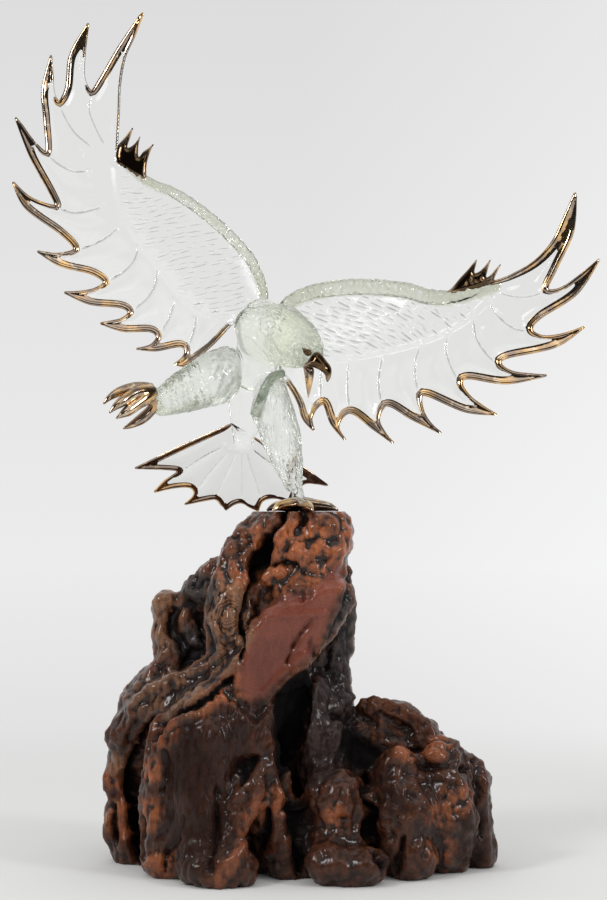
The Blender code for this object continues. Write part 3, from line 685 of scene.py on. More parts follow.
def rodPiece(name, centres, radii, sides=16, gilded=None):
    # A closed rod with a radius, or a ring of them, for each centre
    centres = np.asarray(centres, float)
    radii = np.asarray(radii, float)
    if radii.ndim == 1:
        radii = np.repeat(radii[:, None], sides, axis=1)
    runs = np.gradient(centres, axis=0)
    runs /= np.linalg.norm(runs, axis=1)[:, None]
    across = np.cross(runs[0], (0, 1, 0) if abs(runs[0][1]) < 0.8 else (1, 0, 0))
    turns = np.arange(sides) / sides * 2 * math.pi
    places = [centres[0] - runs[0] * radii[0].mean() * 0.5]
    for centre, run, ring in zip(centres, runs, radii):
        across = across - run * across.dot(run)
        across /= np.linalg.norm(across)
        other = np.cross(run, across)
        ways = np.cos(turns)[:, None] * across + np.sin(turns)[:, None] * other
        places += list(centre + ways * ring[:, None])
    places.append(centres[-1] + runs[-1] * radii[-1].mean() * 0.5)
    last = 1 + (len(centres) - 1) * sides
    around = [(step, (step + 1) % sides) for step in range(sides)]
    faces = [[start + a, start + b, start + sides + b, start + sides + a] for start in range(1, last, sides)
             for a, b in around]
    for a, b in around:
        faces += [[0, 1 + b, 1 + a], [last + a, last + b, len(places) - 1]]
    return newObject(name, places, faces, np.full(len(faces), bool(gilded)))


def noiseAt(*place):
    return noise.noise(Vector(place))


def leadingRod(name, wing):
    # The thick rod along the top of a wing, pinched into blocks on its front
    spacing, sides = 1.1, 20
    line = evenly(smoothLine(wing["leading"], 10), spacing)
    centres = front(line[:, 0], line[:, 1], wingDepth(wing, line[:, 0], line[:, 1]))
    run = np.arange(len(line)) * spacing
    total = run[-1]
    fromEnd = np.minimum(run, total - run) / total
    radius = wing["rodRadius"] * (0.6 + 0.4 * np.minimum(1, fromEnd / 0.3))
    radius = radius * (0.3 + 0.7 * ease(0, 26, total - run))
    turn = np.arange(sides) / sides * 2 * math.pi
    blocks = [[noiseAt(place / wing["rodBlock"] + 0.35 * math.sin(angle), math.cos(angle) * 0.8, 4)
               for angle in turn] for place in run]
    hatch = [[noiseAt((place + 3 * math.sin(angle)) / 2.6, math.sin(angle), 9) for angle in turn]
             for place in run]
    pinched = ease(0.05, 0.75, np.sin(turn))[None]
    ridges = 1 - pinched * (0.22 + 0.24 * np.tanh(4 * np.array(blocks)) + 0.22 * np.array(hatch))
    return rodPiece(name, centres, radius[:, None] * ridges * drawing["unit"], sides)


def swelled(name, corners, depthAt, halfAt):
    # A gilded shape with one outline, thickest along its middle
    outline = evenly(smoothLine(list(corners) + list(corners[:1]), 5), 1.0)[:-1]
    flat, triangles, rim = triangulated(outline, gridWithin(outline, 1.1, 0.95, 0.6))
    x, y, count = flat[:, 0], flat[:, 1], len(flat)
    half, depth = halfAt(toLine(flat, closed(outline))[0]), depthAt(x, y)
    places = np.concatenate([front(x, y, depth - half), front(x, y, depth + half)])
    faces = triangles.tolist() + (triangles + count).tolist()
    faces += [[a, b, b + count, a + count] for a, b in zip(rim, rim[1:] + rim[:1])]
    return newObject(name, places, faces, np.ones(len(faces), bool))


def alulaPiece(name, wing):
    # The gilded spikes at the bend of the wing
    least, more, reach = glassSheet["alulaHalf"]
    return swelled(name, wing["alula"], lambda x, y: wingDepth(wing, x, y),
                   lambda edge: least + more * np.sqrt(1 - (1 - np.minimum(edge / reach, 1)) ** 2))


def bladePiece(name, outline, depth, half):
    least, reach, power = glassSheet["bladeHalf"]
    return swelled(name, outline, lambda x, y: depth + 0 * x,
                   lambda edge: least + half * np.minimum(edge / reach, 1) ** power)


# Body and limbs: balls along a line, as (x, y, depth, radius), and tapered rods in the same form
bodyForm = {
    "torso": [(262, 318, 6, 20), (260, 345, 9, 24), (254, 370, 14, 22)],
    "flank": [(252, 370, 14, 26), (249, 398, 20, 22), (246, 422, 25, 16), (243, 442, 31, 10)],
    "head": [(254, 326, -2, 20), (264, 334, -8, 28), (280, 334, -18, 30), (294, 342, -30, 26),
             (306, 349, -44, 18), (311, 353, -50, 13)],
    "standingThigh": [(270, 388, 0, 16), (272, 410, -6, 21), (281, 436, -8, 20), (288, 462, -6, 15),
                      (293, 482, -4, 10)],
    "raisedThigh": [(226, 362, -4, 16), (215, 378, -16, 27), (186, 391, -37, 21), (163, 402, -52, 14)],
    # How deep each part is for its width
    "depthShares": {"torso": 0.86, "flank": 0.28, "head": 0.86, "standingThigh": 0.86, "raisedThigh": 0.86},
    "voxel": 0.0013,
    # Combed glass, as how proud, its direction, length, width and seed
    "combed": {
        "head": [(1.6, (0.75, 0.65, 0.1), 15, 3.4, 1), (0.6, (0.6, 0.8, 0), 9, 1.9, 2)],
        "standing": [(1.6, (0.18, 1, 0), 26, 3.2, 3), (0.5, (0.2, 1, 0), 11, 1.8, 4)],
        "raised": [(0.6, (-0.6, 0.8, 0), 24, 4.4, 5), (0.5, (-0.8, 0.6, 0), 12, 2.2, 6)],
    },
}
rods = {
    "ankle": [(292, 478, -4, 9), (297, 490, -3, 6), (299, 503, 0, 7)],
    "raisedAnkle": [(170, 399, -48, 11), (157, 396, -57, 8), (149, 393, -63, 8)],
    "thighBand": [(284, 373, -20, 3.6), (273, 377, -23, 4.6), (265, 389, -25, 4.8), (259.5, 404, -24, 4.8),
                  (255.5, 415, -20, 5.6)],
}
gildedRods = {
    "toe0": [(299, 504.0, 0, 7.2), (312, 505.0, -5, 6.6), (326, 506.2, -9, 5), (333, 508.0, -11, 3),
             (338, 510.4, -12, 1)],
    "toe1": [(299, 504.0, 0, 7.2), (303, 505.1, -16, 6.5), (308, 506.2, -30, 5), (311, 508.0, -37, 3),
             (313, 510.4, -42, 1)],
    "toe2": [(299, 504.0, 0, 7.2), (289, 505.1, -13, 6.5), (280, 506.2, -25, 5), (276, 508.0, -31, 3),
             (273, 510.4, -35, 1)],
    "toe3": [(299, 504.0, 0, 7.2), (288, 505.1, 5, 6.5), (277, 506.2, 10, 5), (271, 508.0, 12, 3),
             (267, 510.4, 13, 1)],
    "claw0": [(150, 392, -62, 9), (134, 388, -68, 6), (119, 392, -76, 4.5), (109, 398, -82, 3),
              (103.6, 404, -85, 0.8)],
    "claw1": [(150, 392, -62, 9), (136, 393, -76, 6.5), (123, 401, -88, 5), (115, 407, -94, 3.2),
              (109.4, 413, -97, 0.8)],
    "claw2": [(150, 393, -62, 9), (141, 401, -74, 6.5), (129, 410, -84, 5.5), (122, 414.5, -89, 3.2),
              (116, 418.5, -91, 0.8)],
    "claw3": [(152, 392, -60, 8), (154, 405, -58, 6), (145, 416, -60, 5.5), (133, 424, -66, 4),
              (123.2, 428.6, -70, 0.8)],
}
# Flat gilded shapes swelled to a ridge, as their outline, the depth of their middle, and half thickness
gildedBlades = {
    "upperBeak": ([(304, 364), (309, 359), (312, 354.5), (316.5, 351.8), (320.5, 353.5), (326, 360),
                   (330.7, 366.5), (331.6, 372), (330.5, 378), (327.6, 382), (325.8, 379.5), (325, 375),
                   (321, 371), (315, 368), (309.5, 366.5)], -61, 5.0),
    "eye": ([(302, 347.2), (307, 348.8), (311.6, 350.4), (311, 355), (306.5, 355.8), (303.4, 352.6)],
            -65, 4.5),
    "lowerBeak": ([(302.5, 364), (308, 366), (313.8, 368.5), (313.6, 377), (311.5, 387), (308.3, 398),
                   (306.3, 388), (304.4, 374)], -58, 3.2),
}
# The eyeball, as x, y, depth and radius
eye = (308, 347, -33, 5)
# Where the gilding is painted dark, a painted dark reflection, as (x, y, radius)
darkReflectionSpots = [(317, 360, 11), (326, 369, 9), (131, 158, 24), (472, 282, 24), (306, 351, 8)]
# Dark lines in the raised thigh, and the outline of the head
darkStrokes = [[(233, 379), (228, 392)], [(229, 384), (222, 400)], [(226, 370), (221, 381)],
               [(232, 389), (226, 403)], [(221, 386), (218, 394)], [(236, 380), (230, 384)],
               [(231, 402), (220, 405)], [(219, 366), (214, 376)]]
headShape = [(240, 318), (247, 308), (262, 302), (278, 303), (300, 317), (318, 333), (323, 345), (316, 356),
             (303, 367), (288, 369), (268, 367), (254, 360), (245, 350), (241, 335)]


def unitBall(subdivisions):
    shape = bmesh.new()
    bmesh.ops.create_icosphere(shape, subdivisions=subdivisions, radius=1)
    corners = np.array([tuple(corner.co) for corner in shape.verts])
    faces = np.array([[corner.index for corner in face.verts] for face in shape.faces])
    shape.free()
    return corners, faces


def fusedBalls(name, lines, depthShares, voxel, smoothing, step=0.3, subdivisions=3):
    # One skin over round balls set close together along every line
    corners, triangles = unitBall(subdivisions)
    places, faces = [], []
    for line, depthShare in zip(lines, depthShares):
        line = np.array(line, float)
        for a, b in zip(line, line[1:] if len(line) > 1 else line):
            apart = np.linalg.norm(a[:3] - b[:3])
            count = max(1, round(apart / (step * min(a[3], b[3]))))
            for share in np.linspace(0, 1, count + 1):
                x, y, depth, radius = a + (b - a) * share
                size = radius * drawing["unit"] * np.array([1, depthShare, 1])
                faces.append(triangles + len(corners) * len(places))
                places.append(corners * size + front(x, y, depth))
    mesh = bpy.data.meshes.new(name)
    mesh.from_pydata(np.concatenate(places).tolist(), [], np.concatenate(faces).tolist())
    return remeshed(linked(name, mesh), voxel, smoothing)


def remeshed(made, voxel, smoothing):
    remesh = made.modifiers.new("remesh", "REMESH")
    remesh.mode = "VOXEL"
    remesh.voxel_size = voxel
    smooth = made.modifiers.new("smooth", "SMOOTH")
    smooth.factor, smooth.iterations = 0.5, smoothing
    return applied(made)


def meshArrays(mesh):
    count = len(mesh.vertices)
    places, normals = np.empty(count * 3, np.float32), np.empty(count * 3, np.float32)
    mesh.vertices.foreach_get("co", places)
    mesh.vertices.foreach_get("normal", normals)
    return places.reshape(-1, 3).astype(float), normals.reshape(-1, 3).astype(float)


def grain(points, direction, length, width, seed):
    # Noise drawn out along one direction, for combed feathers and wood flow
    run = np.array(direction, float)
    run /= np.linalg.norm(run)
    share = points @ run
    across = points - share[:, None] * run
    turned = across / width + (share / length)[:, None] * run + seed * 17.3
    return np.array([noiseAt(*place) for place in turned])


def gapTo(flat, line):
    line = smoothLine(line, 5)
    return np.min([np.linalg.norm(flat - centre[:3], axis=1) - centre[3] for centre in line], axis=0)


def keepMarks(made, marks):
    # The materials read these marks as attributes of the mesh
    for name, values in marks.items():
        layer = made.data.attributes.new(name, "FLOAT", "POINT")
        layer.data.foreach_set("value", values.astype(np.float32))


def bodyPiece():
    made = fusedBalls("glassBody", [bodyForm[part] for part in bodyForm["depthShares"]],
                      bodyForm["depthShares"].values(), bodyForm["voxel"], 4)
    places, normals = meshArrays(made.data)
    flat = drawn(places)
    marks = bodyMarks(flat)
    rise = 0
    for mark, combings in bodyForm["combed"].items():
        rise += marks[mark] * sum(proud * grain(flat, *settings) for proud, *settings in combings)
    places += normals * (rise * drawing["unit"])[:, None]
    made.data.vertices.foreach_set("co", places.ravel())
    print("body", len(places), "points")
    return made


def bodyMarks(flat):
    # Where the head, the thighs, the wing rods and the dark band on the thigh lie
    gap = {part: gapTo(flat, bodyForm[part]) for part in bodyForm["depthShares"]}
    torso = np.minimum(np.minimum(gap["torso"], gap["flank"]), 3)
    inHead = within(flat[:, :2], np.array(headShape, float)) * ease(26, 10, flat[:, 2])
    marks = {
        "head": inHead * ease(9, 4, np.minimum(gap["head"], gap["torso"])),
        "standing": ease(5, -1, gap["standingThigh"] - torso) * ease(376, 390, flat[:, 1]),
        "raised": ease(5, -1, gap["raisedThigh"] - torso) * ease(240, 232, flat[:, 0]),
        "band": ease(2.4, 1.2, gapTo(flat, rods["thighBand"])),
    }
    marks["plain"] = ease(3, 1, torso) * (1 - marks["standing"]) * (1 - marks["raised"]) * (1 - marks["head"])
    tailCorners = np.array([corner for edge in tail["edges"] for corner in edge], float)
    fromTail = np.abs(flat[:, 2] - tailDepth(flat[:, 0], flat[:, 1]))
    inTail = within(flat[:, :2], tailCorners) * ease(9, 6, fromTail)
    marks["plain"] = np.maximum(marks["plain"], 0.65 * inTail)
    for wing, name in ((leftWing, "leftRod"), (rightWing, "rightRod")):
        line = smoothLine(wing["leading"], 5)
        away, _ = toLine(flat[:, :2], line)
        behind = np.abs(flat[:, 2] - wingDepth(wing, flat[:, 0], flat[:, 1]))
        marks[name] = ease(wing["rodRadius"] * 1.15, wing["rodRadius"] * 0.9, np.hypot(away, behind)) * (
            1 - marks["head"])
    strokes = ease(0.12, 0.28, grain(flat, (-0.5, 0.85, 0), 17, 3.0, 11)) * ease(204, 218, flat[:, 0]) * 0.7
    for line in darkStrokes:
        strokes = np.maximum(strokes, np.exp(-(toLine(flat, np.array(line, float))[0] / 1.3) ** 2))
    marks["strokes"] = marks["raised"] * strokes * ease(20, 0, flat[:, 2])
    return marks


def drawnRod(name, line, gilded):
    spacing = 1.4
    whole = evenly(smoothLine(line, 8), spacing)
    run = np.arange(len(whole)) * spacing
    centres = front(whole[:, 0], whole[:, 1], whole[:, 2])
    knuckles = 1 + (0.05 * np.sin(run / 4.2) if name.startswith(("toe", "claw")) else 0)
    return rodPiece(name, centres, np.maximum(whole[:, 3], 0.5) * knuckles * drawing["unit"], 16, gilded)


def eaglePiece():
    pieces = [wingPiece("leftWingSheet", leftWing), wingPiece("rightWingSheet", rightWing), tailPiece(),
              leadingRod("leftRod", leftWing), leadingRod("rightRod", rightWing),
              alulaPiece("leftAlula", leftWing), alulaPiece("rightAlula", rightWing)]
    pieces += [drawnRod(name, line, False) for name, line in rods.items()]
    pieces += [drawnRod(name, line, True) for name, line in gildedRods.items()]
    pieces += [bladePiece(name, *blade) for name, blade in gildedBlades.items()]
    shape = bmesh.new()
    bmesh.ops.create_icosphere(shape, subdivisions=4, radius=eye[3] * drawing["unit"])
    bmesh.ops.translate(shape, vec=front(*eye[:3]), verts=shape.verts)
    pieces.append(fromShape("eyeBall", shape))
    faceCount = len(pieces[-1].data.polygons)
    pieces[-1].data.polygons.foreach_set("material_index", np.ones(faceCount, np.int32))
    body = bodyPiece()
    body.name = "glassEagle"
    for piece in [body, *pieces]:
        piece.data.materials.append(bpy.data.materials["clearGlass"])
        piece.data.materials.append(bpy.data.materials["brightGilding"])
    for piece in pieces:
        union = body.modifiers.new("union", "BOOLEAN")
        union.operation, union.solver, union.object = "UNION", "MANIFOLD", piece
    applied(body)
    for piece in pieces:
        bpy.data.objects.remove(piece)
    places, _ = meshArrays(body.data)
    places = np.clip(places, *(np.array(corner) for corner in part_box("glass_eagle")))
    body.data.vertices.foreach_set("co", places.ravel())
    marks = bodyMarks(drawn(places))
    marks["rods"] = np.maximum(marks.pop("leftRod"), marks.pop("rightRod"))
    # painted reflection: the beak, eye and alulas are painted dark
    marks["darkReflection"] = spots(drawn(places), darkReflectionSpots)
    keepMarks(body, marks)
    body.data.shade_smooth()
    body.data.set_sharp_from_angle(angle=math.radians(50))
    print("eagle", len(body.data.vertices), "points", len(body.data.polygons), "faces")
    return body


class Socket:
    # Wraps a node's output, so that shader maths reads as plain sums
    def __init__(self, shader, link):
        self.shader, self.link = shader, link

    def sum(self, kind, *values):
        return self.shader.node("ShaderNodeMath", {"operation": kind}, dict(enumerate(values)))

    def __add__(self, other):
        return self.sum("ADD", self, other)

    def __sub__(self, other):
        return self.sum("SUBTRACT", self, other)

    def __rsub__(self, other):
        return self.sum("SUBTRACT", other, self)

    def __mul__(self, other):
        return self.sum("MULTIPLY", self, other)

    def __truediv__(self, other):
        return self.sum("DIVIDE", self, other)

    def __rtruediv__(self, other):
        return self.sum("DIVIDE", other, self)


class Shader:
    def __init__(self, tree):
        self.tree = tree
        tree.nodes.clear()

    def node(self, kind, settings=None, sockets=None, output=0):
        made = self.tree.nodes.new(kind)
        for name, value in (settings or {}).items():
            setattr(made, name, value)
        for name, value in (sockets or {}).items():
            if isinstance(value, Socket):
                self.tree.links.new(value.link, made.inputs[name])
            else:
                made.inputs[name].default_value = value
        return Socket(self, made.outputs[output])

    def mixed(self, factor, a, b):
        return self.node("ShaderNodeMix", {"data_type": "RGBA"}, {0: factor, 6: a, 7: b}, 2)

    def layered(self, colour, layers):
        # Each layer lies over those before it, as its share and its colour
        for share, above in layers:
            colour = self.mixed(share, colour, above)
        return colour

    def ramp(self, value, low, high, first=0, last=1, soft=False):
        return self.node("ShaderNodeMapRange", {"interpolation_type": "SMOOTHSTEP" if soft else "LINEAR"}, {
            "Value": value, "From Min": low, "From Max": high, "To Min": first, "To Max": last})

    def clouds(self, place, scale, detail, roughness=0.5, distortion=0):
        return self.node("ShaderNodeTexNoise", {}, {"Vector": place, "Scale": scale, "Detail": detail,
                                                    "Roughness": roughness, "Distortion": distortion})

    def stretched(self, place, size, turn=(0, 0, 0)):
        return self.node("ShaderNodeMapping", {}, {"Vector": place, "Rotation": turn, "Scale": size})

    def marks(self, *names):
        return {name: self.node("ShaderNodeAttribute", {"attribute_name": name}, output=2) for name in names}

    def parts(self, vector):
        # The x, y and z of a vector
        split = self.node("ShaderNodeSeparateXYZ", {}, {0: vector})
        return [Socket(self, output) for output in split.link.node.outputs]

    def finish(self, surface, volume=None, kind="ShaderNodeOutputMaterial"):
        end = self.tree.nodes.new(kind)
        self.tree.links.new(surface.link, end.inputs["Surface"])
        if volume:
            self.tree.links.new(volume.link, end.inputs["Volume"])


def newMaterial(name):
    material = bpy.data.materials.new(name)
    material.use_nodes = True
    return material, Shader(material.node_tree)


glassColours = {
    "clear": (0.97, 0.975, 0.965, 1),
    # painted shade: grey where the glass turns steeply from the view
    "edgeShade": (0.36, 0.38, 0.34, 1),
    "head": (0.965, 0.98, 0.885, 1),
    "thighs": (0.88, 0.91, 0.83, 1),
    "hairs": (0.60, 0.62, 0.48, 1),
    "veins": (0.55, 0.62, 0.50, 1),
    "strokes": (0.28, 0.32, 0.26, 1),
    "rods": (0.62, 0.64, 0.51, 1),
    "band": (0.42, 0.47, 0.39, 1),
    "throughout": (0.84, 0.90, 0.74, 1),
}


def glassMaterial():
    material, shader = newMaterial("clearGlass")
    mark = shader.marks("head", "standing", "raised", "band", "rods", "plain", "strokes")
    # Painted shade: the glass is tinted grey where its surface turns steeply from the view, drawing dark
    # lines along its relief; plain glass gets little of it
    facing = shader.node("ShaderNodeLayerWeight", {}, {"Blend": 0.5}, 1)
    edgeShade = shader.ramp(facing, 0.10, 0.36) * (1 - mark["plain"] * 0.85)
    place = shader.node("ShaderNodeTexCoord", output=3)
    turned = shader.stretched(place, (1, 1, 1), (0, -0.68, 0))
    hairs = shader.clouds(shader.stretched(turned, (0.2, 1, 1)), 430, 1)
    veins = shader.clouds(shader.stretched(place, (1, 1, 0.16)), 400, 1)
    tint = shader.layered(glassColours["clear"], [
        (edgeShade * (0.85 - (mark["raised"] + mark["standing"]) * 0.45), glassColours["edgeShade"]),
        (mark["head"], glassColours["head"]),
        (mark["raised"] * 0.2 + mark["standing"] * 0.05, glassColours["thighs"]),
        (mark["head"] * shader.ramp(hairs, 0.57, 0.68) * 0.4, glassColours["hairs"]),
        (mark["standing"] * shader.ramp(veins, 0.54, 0.68) * 0.4, glassColours["veins"]),
        (mark["strokes"] * 0.9, glassColours["strokes"]),
        (mark["rods"] * 0.85, glassColours["rods"]),
        (mark["band"], glassColours["band"]),
    ])
    rough = (mark["head"] * 0.2 + mark["raised"] * 0.05 + mark["standing"] * 0.13 + mark["rods"] * 0.03
             + mark["band"] * 0.2 + 0.015)
    combed = (hairs * (mark["head"] * 0.8 + mark["raised"] * 0.25 + mark["rods"] * 0.5)
              + veins * mark["standing"] * 1.2)
    bump = shader.node("ShaderNodeBump", {}, {"Height": combed, "Strength": 0.9, "Distance": 0.0018})
    surface = shader.node("ShaderNodeBsdfPrincipled", {}, {
        "Base Color": tint, "Roughness": rough, "IOR": 1.5, "Transmission Weight": 1.0, "Normal": bump})
    depth = shader.node("ShaderNodeVolumeAbsorption", {}, {
        "Color": glassColours["throughout"], "Density": 6.0})
    shader.finish(surface, depth)
    return material


gildingColours = {
    "gold": (0.78, 0.49, 0.23, 1),
    "purple": (0.36, 0.28, 0.22, 1),
    "pale": (0.90, 0.76, 0.56, 1),
    # painted dark reflection
    "darkReflection": (0.085, 0.052, 0.028, 1),
}


def gildingMaterial():
    # Bright lustre fired over the glass, from pale gold to a deep purple brown
    material, shader = newMaterial("brightGilding")
    place = shader.node("ShaderNodeTexCoord", output=3)
    cloud = shader.clouds(place, 75, 2)
    patchy = shader.clouds(place, 140, 3, distortion=0.8)
    tint = shader.layered(gildingColours["gold"], [
        (shader.ramp(cloud, 0.36, 0.54), gildingColours["purple"]),
        (shader.ramp(patchy, 0.55, 0.68) * 0.6, gildingColours["pale"]),
        # Painted reflection: the beak, eye and alulas are painted dark brown where they would mirror the dark
        # room
        (shader.marks("darkReflection")["darkReflection"] * 0.95, gildingColours["darkReflection"]),
    ])
    bump = shader.node("ShaderNodeBump", {}, {"Height": patchy, "Strength": 0.12, "Distance": 0.001})
    surface = shader.node("ShaderNodeBsdfPrincipled", {}, {
        "Base Color": tint, "Metallic": 1.0, "Roughness": cloud * 0.10 + 0.05, "Normal": bump})
    shader.finish(surface)
    return material


# Studio: a pale floor that runs into the backdrop, soft lights and the camera
studio = {
    "floorReach": 6.0,
    "floorDrop": 0.0005,
    "shadowReach": (0.22, 0.9),
    "cameraBack": 1.25,
    "lens": 73.52,
    "shift": 61 / 900,
    # The lamps, as name, place, size and power
    "lamps": [("leftBox", (-1.3, -1.1, 1.4), (0.38, 0.48), 13),
              ("rightBox", (1.4, -0.9, 1.1), (0.34, 0.44), 9)],
    "lampsLookAt": (0, 0, 0.2),
    # Soft boxes in reflections: the direction to each, its size and how bright it is
    "softBoxes": [((-0.46, -0.72, 0.52), 0.15, 3.4), ((0.66, -0.56, 0.50), 0.40, 0.9),
                  ((0.1, -0.50, 0.86), 0.36, 1.1), ((0.42, -0.88, 0.22), 0.10, 4.2)],
}


